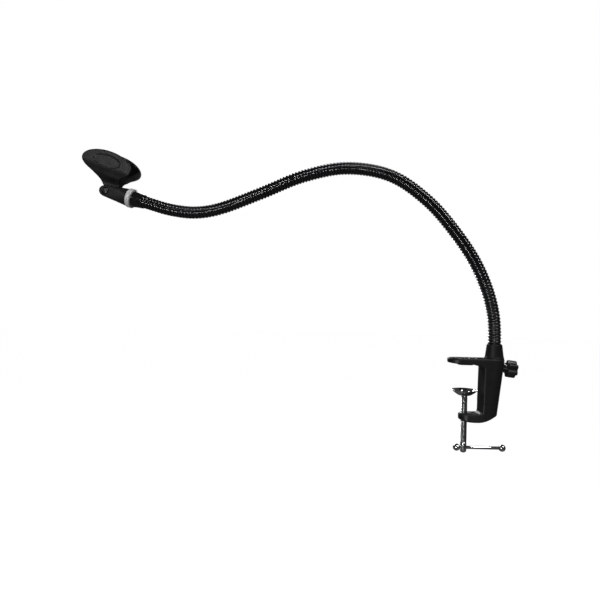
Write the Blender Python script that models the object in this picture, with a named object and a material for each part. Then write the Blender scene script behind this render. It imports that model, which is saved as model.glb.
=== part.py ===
"""Desktop microphone stand: a desk clamp, a flexible neck and a tilting microphone clip.

Units are metres. The origin is the middle of the clamp pad's underside, +Z is up, and the neck
reaches along -X.
"""
from math import acos, asin, cos, degrees, pi, radians, sin, sqrt, tan

import bmesh
import bpy
from mathutils import Matrix, Vector

MM = 0.001
GAP = 0.3 * MM

# Desk clamp
CLAMP_DEPTH = 26.5 * MM
JAW_TIP_X = -22.0 * MM
JAW_TOP_Z = 8.5 * MM
JAW_FLAT_Z = 1.3 * MM
JAW_TIP_RISE = 1.2 * MM
THROAT_BACK_X = 20.6 * MM
BACK_TOP_X = 48.7 * MM
BACK_SLOPE = radians(6.8)
ARM_TOP_Z = -60.0 * MM
ARM_BOTTOM_Z = -70.5 * MM
ARM_TIP_X = -7.0 * MM
ARM_NOSE_RADIUS = 11.0 * MM
PAD_LENGTH = 18.0 * MM
PAD_WIDTH = 15.0 * MM

# Clamp screw, pressure disc and cross bar
SCREW_RADIUS = 4.0 * MM
SCREW_TIP_BALL_Z = -36.5 * MM
TIP_BALL_RADIUS = 3.2 * MM
TIP_NECK_RADIUS = 1.9 * MM
SCREW_BOTTOM_Z = -109.6 * MM
DISC_RADIUS = 15.9 * MM
DISC_RIM_ABOVE_BALL = 5.5 * MM
BAR_Z = -103.3 * MM
BAR_RADIUS = 2.0 * MM
BAR_BALL_RADIUS = 4.4 * MM
BAR_BALL_SPACING = 57.0 * MM

# Neck lock: the knob's axis is square to the sloping back
KNOB_POINT = Vector((47.7, 0.0, -3.0)) * MM
KNOB_RADIUS = 10.6 * MM
KNOB_THICKNESS = 12.0 * MM
KNOB_LOBES = 6
KNOB_STANDOFF = 3.6 * MM
STUD_RADIUS = 3.0 * MM
STUD_TIP_RADIUS = 2.2 * MM

# Neck root
PEG_X = 36.2 * MM
PEG_RADIUS = 5.0 * MM
PEG_GROOVE_RADIUS = 3.6 * MM
PEG_BOTTOM_Z = -24.0 * MM
FERRULE_TOP_Z = 26.3 * MM
FERRULE_RADII = (11.1 * MM, 9.1 * MM)

# Flexible neck
NECK_RADIUS = 7.9 * MM
NECK_BALL_RADIUS = 7.3 * MM
NECK_CUP_RADIUS = 7.65 * MM
NECK_CUP_RISE = 3.5 * MM
NECK_LENGTHS = 11
NECK_SIDES = 16
NECK_RINGS = 4
NECK_ROUTE = [
    (36.2, 0.0, 8.0),
    (36.2, 0.0, 26.3),
    (34.4, 0.0, 59.0),
    (26.5, 0.0, 91.0),
    (9.5, 0.0, 128.5),
    (-18.0, 0.0, 167.5),
    (-52.0, 0.0, 204.0),
    (-98.0, 0.0, 233.6),
    (-154.0, 0.0, 241.8),
    (-208.0, 0.0, 230.3),
    (-261.0, 0.0, 207.7),
    (-314.0, 0.5, 187.0),
    (-342.5, 2.5, 182.6),
    (-374.0, 6.5, 186.0),
]

# Microphone clip: the pivot, and the direction in which the neck's end points
PIVOT = Vector((-457.1, 20.4, 209.1)) * MM
END_YAW = radians(12.0)
END_PITCH = radians(15.2)
CRADLE_PITCH = radians(19.0)
COLLAR_RADIUS = 12.2 * MM
COLLAR_FROM_PIVOT = (-35.8 * MM, -30.3 * MM)
SLEEVE_FROM_PIVOT = -52.0 * MM
END_STUD_RADIUS = 4.7 * MM
BASE_RADIUS = 11.4 * MM
BASE_END_RADIUS = 7.1 * MM
BASE_END_WIDTH = 9.45 * MM
BASE_END_STRETCH = 1.18
FORK_SLOT = 9.2 * MM
FORK_ROOT = -16.9 * MM
TONGUE_WIDTH = 8.6 * MM
PIVOT_SCREW_RADIUS = 2.0 * MM
CRADLE_INNER = 12.0 * MM
CRADLE_OUTER = 14.5 * MM
CRADLE_AXIS = 30.0 * MM
CRADLE_MIDDLE = 8.0 * MM
CRADLE_TOP = 47.5 * MM
CRADLE_HALF_LENGTH = 36.0 * MM
CRADLE_HALF_HEIGHT = 16.0 * MM

FINISHES = {
    "black_casting": ((0.012, 0.012, 0.013), 0.42, 0.0),
    "black_rubber": ((0.015, 0.015, 0.015), 0.85, 0.0),
    "black_plastic": ((0.014, 0.014, 0.015), 0.5, 0.0),
    "black_gloss": ((0.01, 0.01, 0.011), 0.2, 0.0),
    "chrome": ((0.82, 0.82, 0.83), 0.12, 1.0),
    "steel": ((0.6, 0.6, 0.61), 0.3, 1.0),
    "brass": ((0.75, 0.55, 0.25), 0.3, 1.0),
}


def clear_scene():
    """Removes every object of the open scene."""
    for thing in list(bpy.data.objects):
        bpy.data.objects.remove(thing, do_unlink=True)


def finish(name):
    """The named finish as a material with one Principled shader."""
    if name in bpy.data.materials:
        return bpy.data.materials[name]
    colour, roughness, metallic = FINISHES[name]
    material = bpy.data.materials.new(name)
    material.use_nodes = True
    shader = material.node_tree.nodes["Principled BSDF"]
    shader.inputs["Base Color"].default_value = (*colour, 1.0)
    shader.inputs["Roughness"].default_value = roughness
    shader.inputs["Metallic"].default_value = metallic
    return material


def add_object(name, bm, finish_name, place=None):
    """A named object from a bmesh, with outward faces and smooth round sides."""
    bmesh.ops.recalc_face_normals(bm, faces=bm.faces)
    mesh = bpy.data.meshes.new(name)
    bm.to_mesh(mesh)
    bm.free()
    mesh.shade_smooth()
    mesh.set_sharp_from_angle(angle=radians(35.0))
    thing = bpy.data.objects.new(name, mesh)
    thing.matrix_world = place if place is not None else Matrix.Identity(4)
    bpy.context.scene.collection.objects.link(thing)
    if finish_name:
        mesh.materials.append(finish(finish_name))
    return thing


def turned(name, outline, finish_name, place=None, sides=32):
    """A piece turned about Z. The outline holds (radius, height) pairs, and closes on itself or the axis."""
    bm = bmesh.new()
    points = [bm.verts.new((radius, 0.0, height)) for radius, height in outline]
    edges = [bm.edges.new(pair) for pair in zip(points, points[1:])]
    if outline[0][0] > 0.0:
        edges.append(bm.edges.new((points[-1], points[0])))
    bmesh.ops.spin(
        bm, geom=points + edges, cent=(0, 0, 0), axis=(0, 0, 1), angle=2 * pi, steps=sides, use_merge=True
    )
    bmesh.ops.remove_doubles(bm, verts=bm.verts, dist=1e-7)
    return add_object(name, bm, finish_name, place)


def extruded(name, outline, thickness, finish_name, place=None):
    """A flat outline in X and Y, extruded to both sides of Z = 0 by half the thickness."""
    bm = bmesh.new()
    face = bm.faces.new([bm.verts.new((x, y, -thickness / 2)) for x, y in outline])
    grown = bmesh.ops.extrude_face_region(bm, geom=[face])["geom"]
    moved = [part for part in grown if isinstance(part, bmesh.types.BMVert)]
    bmesh.ops.translate(bm, verts=moved, vec=(0, 0, thickness))
    return add_object(name, bm, finish_name, place)


def lofted(name, rings, finish_name, place=None):
    """A closed body through rings of equal point count, with a flat face on its first and last ring."""
    bm = bmesh.new()
    loops = [[bm.verts.new(point) for point in ring] for ring in rings]
    for lower, upper in zip(loops, loops[1:]):
        count = len(lower)
        for i in range(count):
            bm.faces.new((lower[i], lower[(i + 1) % count], upper[(i + 1) % count], upper[i]))
    bm.faces.new(loops[0])
    bm.faces.new(loops[-1])
    return add_object(name, bm, finish_name, place)


def arc(centre, radius, start, end, steps):
    """Points of an arc from one angle to another, in degrees."""
    angles = [radians(start + (end - start) * i / steps) for i in range(steps + 1)]
    return [(centre[0] + radius * cos(a), centre[1] + radius * sin(a)) for a in angles]


def combine(thing, tool, operation):
    """Adds an exact Boolean of a tool object, which stays a hidden guide."""
    tool.hide_render = True
    tool.display_type = "WIRE"
    modifier = thing.modifiers.new(tool.name, "BOOLEAN")
    modifier.operation = operation
    modifier.solver = "EXACT"
    modifier.object = tool


def bevel(thing, width, segments=2):
    """Adds a rounded edge."""
    modifier = thing.modifiers.new("edge", "BEVEL")
    modifier.width = width
    modifier.segments = segments
    modifier.limit_method = "ANGLE"
    modifier.angle_limit = radians(40.0)


def frame_at(origin, x_axis, y_axis, z_axis):
    """A placement from an origin and three unit axes."""
    place = Matrix((x_axis, y_axis, z_axis)).transposed().to_4x4()
    place.translation = origin
    return place


def upright(x, z):
    """A placement with an unturned frame at x and z."""
    return Matrix.Translation((x, 0.0, z))


SIDE_VIEW = Matrix.Rotation(radians(90.0), 4, "X")


# ---------------------------------------------------------------- desk clamp


def back_x(z):
    """Where the clamp's sloping back is at a height."""
    return BACK_TOP_X - (JAW_TOP_Z - z) * tan(BACK_SLOPE)


def clamp_plan(z):
    """The clamp's outline seen from above, at a height: a slot shape with a round nose and a round back."""
    radius = CLAMP_DEPTH / 2
    nose = arc((JAW_TIP_X + radius, 0.0), radius, 270.0, 90.0, 14)
    back = arc((back_x(z) - radius, 0.0), radius, 90.0, -90.0, 14)
    return [(x, y, z) for x, y in nose + back]


def clamp_side():
    """The clamp's outline seen from the side, as X and Z."""
    tip_z = JAW_FLAT_Z + JAW_TIP_RISE
    corner = 4.0 * MM
    outline = [(JAW_TIP_X - MM, JAW_TOP_Z), (JAW_TIP_X - MM, tip_z)]
    heel_z = JAW_FLAT_Z - 2.2 * MM
    outline += [(-9.3 * MM, JAW_FLAT_Z), (9.3 * MM, JAW_FLAT_Z), (THROAT_BACK_X - MM, heel_z)]
    outline += arc((THROAT_BACK_X - MM, heel_z - MM), MM, 60.0, 0.0, 2)
    outline += arc((THROAT_BACK_X - corner, ARM_TOP_Z + corner), corner, 0.0, -90.0, 6)
    outline += [(ARM_TIP_X - MM, ARM_TOP_Z), (ARM_TIP_X - MM, ARM_BOTTOM_Z + 2.4 * MM)]
    outline += [(-3.5 * MM, ARM_BOTTOM_Z + 1.2 * MM), (3.5 * MM, ARM_BOTTOM_Z)]
    outline += arc((12.5 * MM, ARM_BOTTOM_Z + 34.0 * MM), 34.0 * MM, 272.0, 310.0, 8)
    outline += [(back_x(-62.0 * MM) - MM, -62.6 * MM), (60.0 * MM, -40.0 * MM), (60.0 * MM, JAW_TOP_Z)]
    return outline


def build_clamp():
    """The C-shaped body, cut from its plan and its side outline."""
    frame = lofted(
        "clamp_frame", [clamp_plan(ARM_BOTTOM_Z - 6.0 * MM), clamp_plan(JAW_TOP_Z)], "black_casting"
    )
    side = extruded("clamp_side_guide", clamp_side(), 2 * CLAMP_DEPTH, None, SIDE_VIEW)
    combine(frame, side, "INTERSECT")
    nose_x = ARM_TIP_X + ARM_NOSE_RADIUS
    reach = 20.0 * MM
    corner = [(-reach, -reach), (nose_x, -reach)]
    corner += arc((nose_x, 0.0), ARM_NOSE_RADIUS, 270.0, 90.0, 10)
    corner += [(nose_x, reach), (-reach, reach)]
    middle = (ARM_TOP_Z + ARM_BOTTOM_Z) / 2
    combine(frame, extruded("arm_nose_guide", corner, 24.0 * MM, None, upright(0.0, middle)), "DIFFERENCE")
    bore = SCREW_RADIUS + GAP
    combine(frame, rod_guide("screw_bore_guide", bore, upright(0.0, middle), 30.0 * MM), "DIFFERENCE")
    peg_place = upright(PEG_X, (PEG_BOTTOM_Z - GAP + 30.0 * MM) / 2)
    peg_bore = rod_guide("peg_bore_guide", PEG_RADIUS + GAP, peg_place, 30.0 * MM - PEG_BOTTOM_Z + GAP)
    combine(frame, peg_bore, "DIFFERENCE")
    stud_bore = rod_guide("stud_bore_guide", STUD_RADIUS + GAP, knob_place(0.0), 15.0 * MM)
    combine(frame, stud_bore, "DIFFERENCE")
    bevel(frame, 0.6 * MM, 1)


def rod_guide(name, radius, place, length):
    """A round cutter about its placement's Z axis, centred on it."""
    outline = [(0.0, -length / 2), (radius, -length / 2), (radius, length / 2), (0.0, length / 2)]
    return turned(name, outline, None, place, sides=20)


def build_pad():
    """The thin pad under the jaw. Its underside is at the origin."""
    half, side, round_off = PAD_LENGTH / 2, PAD_WIDTH / 2, 5.0 * MM
    corners = [(half, side, 90.0), (half, -side, 0.0), (-half, -side, -90.0), (-half, side, -180.0)]
    outline = []
    for x, y, start in corners:
        centre = (x - round_off * (1 if x > 0 else -1), y - round_off * (1 if y > 0 else -1))
        outline += arc(centre, round_off, start, start - 90.0, 5)
    thickness = JAW_FLAT_Z - GAP
    extruded("jaw_pad", outline, thickness, "black_rubber", upright(0.0, thickness / 2))


def build_screw():
    """The clamp screw with its round lower end and cross hole, and the ball stud in its upper end."""
    shoulder = -3.5 * MM
    socket_depth = 6.0 * MM
    neck_angle = asin(TIP_NECK_RADIUS / TIP_BALL_RADIUS)
    outline = [(0.0, TIP_BALL_RADIUS)]
    steps = 8
    for i in range(1, steps + 1):
        angle = (pi - neck_angle) * i / steps
        outline.append((TIP_BALL_RADIUS * sin(angle), TIP_BALL_RADIUS * cos(angle)))
    outline += [(TIP_NECK_RADIUS, shoulder - socket_depth + GAP), (0.0, shoulder - socket_depth + GAP)]
    turned("screw_ball_stud", outline, "chrome", upright(0.0, SCREW_TIP_BALL_Z), sides=24)
    socket = TIP_NECK_RADIUS + GAP
    outline = [(0.0, shoulder - socket_depth), (socket, shoulder - socket_depth), (socket, shoulder)]
    outline += [(SCREW_RADIUS - 0.8 * MM, shoulder), (SCREW_RADIUS, shoulder - 0.8 * MM)]
    bottom = SCREW_BOTTOM_Z - SCREW_TIP_BALL_Z
    rise = 2.2 * MM
    for i in range(7):
        angle = radians(90.0 * i / 6)
        outline.append((SCREW_RADIUS * cos(angle) if i < 6 else 0.0, bottom + rise * (1 - sin(angle))))
    screw = turned("clamp_screw", outline, "chrome", upright(0.0, SCREW_TIP_BALL_Z), sides=28)
    across = upright(0.0, BAR_Z) @ Matrix.Rotation(radians(90.0), 4, "Y")
    combine(screw, rod_guide("bar_hole_guide", BAR_RADIUS + GAP, across, 20.0 * MM), "DIFFERENCE")


def build_disc():
    """The dished pressure disc, whose boss holds the screw's ball tip in a round socket."""
    rim = DISC_RIM_ABOVE_BALL
    socket = TIP_BALL_RADIUS + GAP
    outline = [(0.0, 4.9 * MM), (3.2 * MM, 4.8 * MM), (5.0 * MM, 3.0 * MM), (7.2 * MM, -0.4 * MM)]
    outline += [(8.4 * MM, -0.2 * MM), (DISC_RADIUS - 1.2 * MM, rim - 0.5 * MM)]
    outline += [(DISC_RADIUS - 0.6 * MM, rim), (DISC_RADIUS, rim - 0.5 * MM), (8.6 * MM, -1.8 * MM)]
    outline += [(7.4 * MM, -2.2 * MM), (2.7 * MM, -2.4 * MM)]
    for i in range(9):
        angle = radians(-41.0 + 131.0 * i / 8)
        outline.append((socket * cos(angle) if i < 8 else 0.0, socket * sin(angle)))
    turned("pressure_disc", outline, "chrome", upright(0.0, SCREW_TIP_BALL_Z))


def build_cross_bar():
    """The sliding bar with a pressed-on ball at each end. The left ball touches the screw."""
    left_x = -(SCREW_RADIUS + BAR_BALL_RADIUS)
    along = Matrix.Rotation(radians(90.0), 4, "Y")
    seat = 2.4 * MM
    length = BAR_BALL_SPACING - 2 * (seat + GAP)
    middle = left_x + BAR_BALL_SPACING / 2
    edge = 0.3 * MM
    half = length / 2 + 2.0 * MM
    outline = [(0.0, -half), (BAR_RADIUS - edge, -half), (BAR_RADIUS, -half + edge)]
    outline += [(BAR_RADIUS, half - edge), (BAR_RADIUS - edge, half), (0.0, half)]
    turned("tommy_bar", outline, "chrome", upright(middle, BAR_Z) @ along, sides=16)
    hole = BAR_RADIUS + GAP
    mouth = sqrt(BAR_BALL_RADIUS**2 - hole**2)
    floor = BAR_BALL_SPACING / 2 - half - GAP
    for name, x, turn in (
        ("tommy_ball_left", left_x, 1.0),
        ("tommy_ball_right", left_x + BAR_BALL_SPACING, -1.0),
    ):
        outline = [(0.0, -BAR_BALL_RADIUS)]
        start, stop = -90.0, 90.0 - degrees(asin(hole / BAR_BALL_RADIUS))
        for i in range(1, 11):
            angle = radians(start + (stop - start) * i / 10)
            outline.append((BAR_BALL_RADIUS * cos(angle), BAR_BALL_RADIUS * sin(angle)))
        outline[-1] = (hole, mouth)
        outline += [(hole, floor), (0.0, floor)]
        facing = Matrix.Rotation(radians(90.0 * turn), 4, "Y")
        turned(name, outline, "chrome", upright(x, BAR_Z) @ facing, sides=24)


# ----------------------------------------------------------------- neck lock


def knob_place(distance):
    """The knob's frame, its Z axis out of the sloping back, at a distance from the back."""
    out = Vector((cos(BACK_SLOPE), 0.0, -sin(BACK_SLOPE)))
    side = Vector((0.0, 1.0, 0.0))
    return frame_at(KNOB_POINT + out * distance, side.cross(out), side, out)


def build_lock():
    """The lobed knob with its insert, and the stud that presses the peg."""
    outline = []
    steps = 8 * KNOB_LOBES
    for i in range(steps):
        angle = 2 * pi * i / steps
        radius = KNOB_RADIUS * (0.925 + 0.075 * cos(KNOB_LOBES * angle))
        outline.append((radius * cos(angle), radius * sin(angle)))
    middle = KNOB_STANDOFF + KNOB_THICKNESS / 2
    knob = extruded("lock_knob", outline, KNOB_THICKNESS, "black_plastic", knob_place(middle))
    insert_radius = 4.4 * MM
    pocket = rod_guide(
        "insert_pocket_guide", insert_radius + GAP, knob_place(KNOB_STANDOFF + 3.0 * MM), 10.0 * MM
    )
    combine(knob, pocket, "DIFFERENCE")
    bevel(knob, 1.0 * MM)
    bore = STUD_RADIUS + GAP
    bottom, top = -1.6 * MM, 7.4 * MM
    shape = [(bore, bottom), (3.7 * MM, bottom), (insert_radius, bottom + 0.7 * MM)]
    shape += [(insert_radius, top), (bore, top)]
    turned("lock_insert", shape, "steel", knob_place(KNOB_STANDOFF), sides=28)
    tip_x = PEG_X + PEG_GROOVE_RADIUS + GAP
    tip = -(KNOB_POINT.x - tip_x) / cos(BACK_SLOPE)
    head = KNOB_STANDOFF + 7.0 * MM
    edge = 0.5 * MM
    shape = [(0.0, tip), (STUD_TIP_RADIUS - 0.2 * MM, tip), (STUD_TIP_RADIUS, tip + 0.2 * MM)]
    shape += [(STUD_TIP_RADIUS, tip + 1.4 * MM), (STUD_RADIUS, tip + 2.2 * MM)]
    shape += [(STUD_RADIUS, head - edge), (STUD_RADIUS - edge, head), (0.0, head)]
    turned("lock_stud", shape, "steel", knob_place(0.0), sides=24)


# ----------------------------------------------------------------- neck root


def build_root():
    """The peg in the clamp's bore, with the groove for the stud, and the conical ferrule above it."""
    groove_z = KNOB_POINT.z + (KNOB_POINT.x - PEG_X) * tan(BACK_SLOPE)
    edge = 0.6 * MM
    slope = 1.4 * MM
    flat = STUD_TIP_RADIUS + 0.7 * MM
    collar_z = JAW_TOP_Z + GAP + 6.0 * MM
    shape = [(0.0, PEG_BOTTOM_Z), (PEG_RADIUS - edge, PEG_BOTTOM_Z), (PEG_RADIUS, PEG_BOTTOM_Z + edge)]
    shape += [(PEG_RADIUS, groove_z - flat - slope), (PEG_GROOVE_RADIUS, groove_z - flat)]
    shape += [(PEG_GROOVE_RADIUS, groove_z + flat), (PEG_RADIUS, groove_z + flat + slope)]
    shape += [(PEG_RADIUS, collar_z - edge), (PEG_RADIUS - edge, collar_z), (0.0, collar_z)]
    turned("mounting_peg", shape, "steel", upright(PEG_X, 0.0), sides=28)
    wide, narrow = FERRULE_RADII
    base_z = JAW_TOP_Z + GAP
    rod_z = FERRULE_TOP_Z - 8.0 * MM
    bore = NECK_BALL_RADIUS + GAP
    shape = [(PEG_RADIUS + GAP, base_z), (wide - 0.4 * MM, base_z), (wide, base_z + 0.4 * MM)]
    shape += [(narrow + 0.1 * MM, FERRULE_TOP_Z - 0.6 * MM), (narrow - 0.5 * MM, FERRULE_TOP_Z)]
    shape += [(bore, FERRULE_TOP_Z), (bore, rod_z), (PEG_RADIUS + GAP, rod_z - 1.5 * MM)]
    turned("base_ferrule", shape, "black_casting", upright(PEG_X, 0.0))


# -------------------------------------------------------------- flexible neck


class NeckRoute:
    """The neck's centre line: a smooth curve through its route points, read by length along it."""

    def __init__(self, points, end_point, end_direction):
        """Adds the neck's end, then measures the curve from the ferrule's top."""
        self.end_direction = end_direction
        route = [Vector(point) * MM for point in points] + [end_point]
        before = route[0] * 2 - route[1]
        after = end_point + end_direction * 30.0 * MM
        self.points = []
        for a, b, c, d in zip([before] + route[:-2], route[:-1], route[1:], route[2:] + [after]):
            self.points += [self.between(a, b, c, d, i / 24) for i in range(24)]
        self.points.append(end_point)
        self.lengths = [0.0]
        for lower, upper in zip(self.points, self.points[1:]):
            self.lengths.append(self.lengths[-1] + (upper - lower).length)
        self.total = self.lengths[-1]

    @staticmethod
    def between(a, b, c, d, share):
        """A point between b and c on a smooth curve through four points, whatever their spacing."""
        knots = [0.0]
        for lower, upper in ((a, b), (b, c), (c, d)):
            knots.append(knots[-1] + sqrt((upper - lower).length))
        t = knots[1] + (knots[2] - knots[1]) * share
        near = blend_points(a, b, knots[0], knots[1], t)
        middle = blend_points(b, c, knots[1], knots[2], t)
        far = blend_points(c, d, knots[2], knots[3], t)
        first = blend_points(near, middle, knots[0], knots[2], t)
        second = blend_points(middle, far, knots[1], knots[3], t)
        return blend_points(first, second, knots[1], knots[2], t)

    def at(self, length):
        """The point at a length along the route."""
        length = min(max(length, 0.0), self.total)
        low, high = 0, len(self.lengths) - 1
        while high - low > 1:
            middle = (low + high) // 2
            if self.lengths[middle] <= length:
                low = middle
            else:
                high = middle
        share = (length - self.lengths[low]) / (self.lengths[high] - self.lengths[low])
        return self.points[low].lerp(self.points[high], share)

    def frame(self, length):
        """The route's frame at a length: Z along the neck, Y level and across it."""
        reach = 2.0 * MM
        along = (self.at(length + reach) - self.at(length - reach)).normalized()
        if length >= self.total:
            along = self.end_direction
        across = along.cross(Vector((0.0, 1.0, 0.0))).normalized()
        return frame_at(self.at(length), across, along.cross(across), along)


def blend_points(a, b, start, end, t):
    """The point at t on the line through a at start and b at end."""
    return a * ((end - t) / (end - start)) + b * ((t - start) / (end - start))


def neck_joints(route):
    """The lengths along the route at which the neck's lengths pivot on each other."""
    start = (Vector(NECK_ROUTE[1]) - Vector(NECK_ROUTE[0])).length * MM
    spacing = (route.total - start) / (NECK_LENGTHS + 0.3)
    return [start + spacing * (i + 1.0) for i in range(NECK_LENGTHS - 1)]


def circle_ring(place, radius, height):
    """A ring of points about a placement's Z axis."""
    angles = [2 * pi * i / NECK_SIDES for i in range(NECK_SIDES)]
    return [place @ Vector((radius * cos(a), radius * sin(a), height)) for a in angles]


def neck_length(name, route, start, end, has_cup, has_ball):
    """One length of the neck: a cup over the ball below it, a curved body, and a ball at its own end."""
    low, high = route.frame(start), route.frame(end)
    pole = 0.35 * MM
    rings = []
    if has_cup:
        steepest = acos(NECK_CUP_RISE / NECK_CUP_RADIUS)
        for i in range(NECK_RINGS):
            share = i / (NECK_RINGS - 1)
            angle = asin(pole / NECK_CUP_RADIUS) * (1 - share) + steepest * share
            rings.append(circle_ring(low, NECK_CUP_RADIUS * sin(angle), NECK_CUP_RADIUS * cos(angle)))
        rings.append(circle_ring(low, NECK_RADIUS, NECK_CUP_RISE))
        first = start + 9.0 * MM
    else:
        tail = low.copy()
        rings.append(circle_ring(tail, NECK_BALL_RADIUS, -7.5 * MM))
        rings.append(circle_ring(tail, NECK_BALL_RADIUS, GAP))
        rings.append(circle_ring(tail, NECK_RADIUS, GAP))
        first = start + 6.0 * MM
    last = end - 6.0 * MM
    for i in range(NECK_RINGS):
        share = i / (NECK_RINGS - 1)
        rings.append(circle_ring(route.frame(first + (last - first) * share), NECK_RADIUS, 0.0))
    rings.append(circle_ring(high, NECK_RADIUS, 0.0))
    if has_ball:
        for i in range(NECK_RINGS):
            angle = (pi / 2 - asin(pole / NECK_BALL_RADIUS)) * i / (NECK_RINGS - 1)
            rings.append(circle_ring(high, NECK_BALL_RADIUS * cos(angle), NECK_BALL_RADIUS * sin(angle)))
    else:
        rings.append(circle_ring(high, END_STUD_RADIUS, 0.0))
        rings.append(circle_ring(high, END_STUD_RADIUS, 11.0 * MM))
    lofted(name, rings, "black_casting")


def build_neck(route):
    """The neck's lengths, from the ferrule to the sleeve."""
    start = (Vector(NECK_ROUTE[1]) - Vector(NECK_ROUTE[0])).length * MM
    stops = [start] + neck_joints(route) + [route.total]
    for i in range(NECK_LENGTHS):
        is_first, is_last = i == 0, i == NECK_LENGTHS - 1
        neck_length(f"gooseneck_{i + 1}", route, stops[i], stops[i + 1], not is_first, not is_last)


# ------------------------------------------------------------ microphone clip


def end_axes(pitch):
    """Axes at the neck's end: up across the clip, level across it, and along it away from the neck."""
    along = Vector((-cos(pitch) * cos(END_YAW), cos(pitch) * sin(END_YAW), sin(pitch)))
    up = Vector((sin(pitch) * cos(END_YAW), -sin(pitch) * sin(END_YAW), cos(pitch)))
    return up, along.cross(up), along


def end_place(pitch=END_PITCH):
    """The frame at the pivot, Z along the neck's end and X up across it."""
    up, level, along = end_axes(pitch)
    return frame_at(PIVOT, up, level, along)


def build_neck_end():
    """The glossy sleeve on the neck, and the chrome fitting with its collar and stud."""
    low, high = COLLAR_FROM_PIVOT
    start = SLEEVE_FROM_PIVOT
    bore = END_STUD_RADIUS + GAP
    shape = [(bore, start), (8.2 * MM, start), (8.6 * MM, start + 0.4 * MM), (9.1 * MM, start + 8.0 * MM)]
    shape += [(9.9 * MM, low - 2.0 * MM), (9.9 * MM, low - GAP), (bore, low - GAP)]
    turned("top_ferrule", shape, "black_gloss", end_place())
    edge = 0.5 * MM
    stud_end = -18.4 * MM
    shape = [(0.0, low - 4.5 * MM), (END_STUD_RADIUS, low - 4.5 * MM), (END_STUD_RADIUS, low)]
    shape += [(COLLAR_RADIUS - edge, low), (COLLAR_RADIUS, low + edge), (COLLAR_RADIUS, high - edge)]
    shape += [(COLLAR_RADIUS - edge, high), (END_STUD_RADIUS, high), (END_STUD_RADIUS, stud_end - edge)]
    shape += [(END_STUD_RADIUS - edge, stud_end), (0.0, stud_end)]
    turned("thread_fitting", shape, "chrome", end_place())


def base_ring(along):
    """A ring of the clip base at a distance along it: round at the collar, flatter at the fork."""
    start = COLLAR_FROM_PIVOT[1] + GAP
    share = min(max((along - start) / -start, 0.0), 1.0)
    height = BASE_RADIUS + (BASE_END_RADIUS - BASE_RADIUS) * share
    if along > 0.0:
        height = sqrt(BASE_END_RADIUS**2 - (along / BASE_END_STRETCH) ** 2)
    width = BASE_RADIUS + (BASE_END_WIDTH - BASE_RADIUS) * share
    power = 1.0 - 0.62 * share
    ring = []
    for i in range(32):
        angle = 2 * pi * i / 32
        x = abs(cos(angle)) ** power * (1 if cos(angle) > 0 else -1)
        y = abs(sin(angle)) ** power * (1 if sin(angle) > 0 else -1)
        ring.append((x * height, y * width, along))
    return ring


def build_clip_base():
    """The clip's lower half: a tapering body with a fork, a thread insert and the pivot's fasteners."""
    start = COLLAR_FROM_PIVOT[1] + GAP
    stations = [start + (0.0 - start) * i / 6 for i in range(7)]
    tip = BASE_END_RADIUS * BASE_END_STRETCH
    stations += [tip * sin(radians(14.0 * i)) for i in range(1, 7)]
    base = lofted("clip_base", [base_ring(along) for along in stations], "black_plastic", end_place())
    long_way = 30.0 * MM
    slot = [(-long_way, -FORK_SLOT / 2), (long_way, -FORK_SLOT / 2)]
    slot += [(long_way, FORK_SLOT / 2), (-long_way, FORK_SLOT / 2)]
    depth = 12.0 * MM - FORK_ROOT
    slot_place = end_place() @ Matrix.Translation((0.0, 0.0, FORK_ROOT + depth / 2))
    combine(base, extruded("fork_slot_guide", slot, depth, None, slot_place), "DIFFERENCE")
    insert_end = -17.7 * MM
    insert_radius = 7.2 * MM
    depth = insert_end - start + MM
    bore_place = end_place() @ Matrix.Translation((0.0, 0.0, insert_end - depth / 2))
    combine(base, rod_guide("insert_bore_guide", insert_radius + GAP, bore_place, depth), "DIFFERENCE")
    across = end_place() @ Matrix.Rotation(radians(-90.0), 4, "X")
    combine(
        base, rod_guide("pivot_bore_guide", PIVOT_SCREW_RADIUS + GAP, across, 40.0 * MM), "DIFFERENCE"
    )
    for name, side in (("screw_seat_guide", -1.0), ("nut_seat_guide", 1.0)):
        seat = end_place() @ Matrix.Translation((0.0, side * 12.0 * MM, 0.0))
        seat = seat @ Matrix.Rotation(radians(-90.0), 4, "X")
        combine(base, rod_guide(name, 4.6 * MM, seat, 8.0 * MM), "DIFFERENCE")
    bore = END_STUD_RADIUS + GAP
    shape = [(bore, start), (insert_radius, start), (insert_radius, insert_end - GAP)]
    shape += [(bore, insert_end - GAP)]
    turned("thread_insert", shape, "brass", end_place(), sides=28)


def build_pivot():
    """The screw, washer and nut through the fork and the tongue."""
    across = end_place() @ Matrix.Rotation(radians(90.0), 4, "X")
    seat = 8.0 * MM
    head_top = seat + GAP + 2.6 * MM
    tail = -(seat + 4.0 * MM)
    head = 4.3 * MM
    shape = [(0.0, tail), (PIVOT_SCREW_RADIUS, tail), (PIVOT_SCREW_RADIUS, seat + GAP)]
    shape += [(head, seat + GAP), (head, head_top - 1.2 * MM), (head - 0.7 * MM, head_top - 0.4 * MM)]
    shape += [(2.4 * MM, head_top), (0.0, head_top)]
    turned("pivot_screw", shape, "steel", across, sides=24)
    bore = PIVOT_SCREW_RADIUS + GAP
    shape = [(bore, -seat - 1.0 * MM), (4.2 * MM, -seat - 1.0 * MM), (4.2 * MM, -seat - GAP)]
    shape += [(bore, -seat - GAP)]
    turned("pivot_washer", shape, "steel", across, sides=24)
    hexagon = [(3.6 * MM * cos(radians(60.0 * i)), 3.6 * MM * sin(radians(60.0 * i))) for i in range(6)]
    thickness = 2.4 * MM
    nut_place = across @ Matrix.Translation((0.0, 0.0, -seat - 1.3 * MM - thickness / 2))
    nut = extruded("pivot_nut", hexagon, thickness, "steel", nut_place)
    combine(nut, rod_guide("nut_bore_guide", bore, nut_place, 10.0 * MM), "DIFFERENCE")


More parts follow.
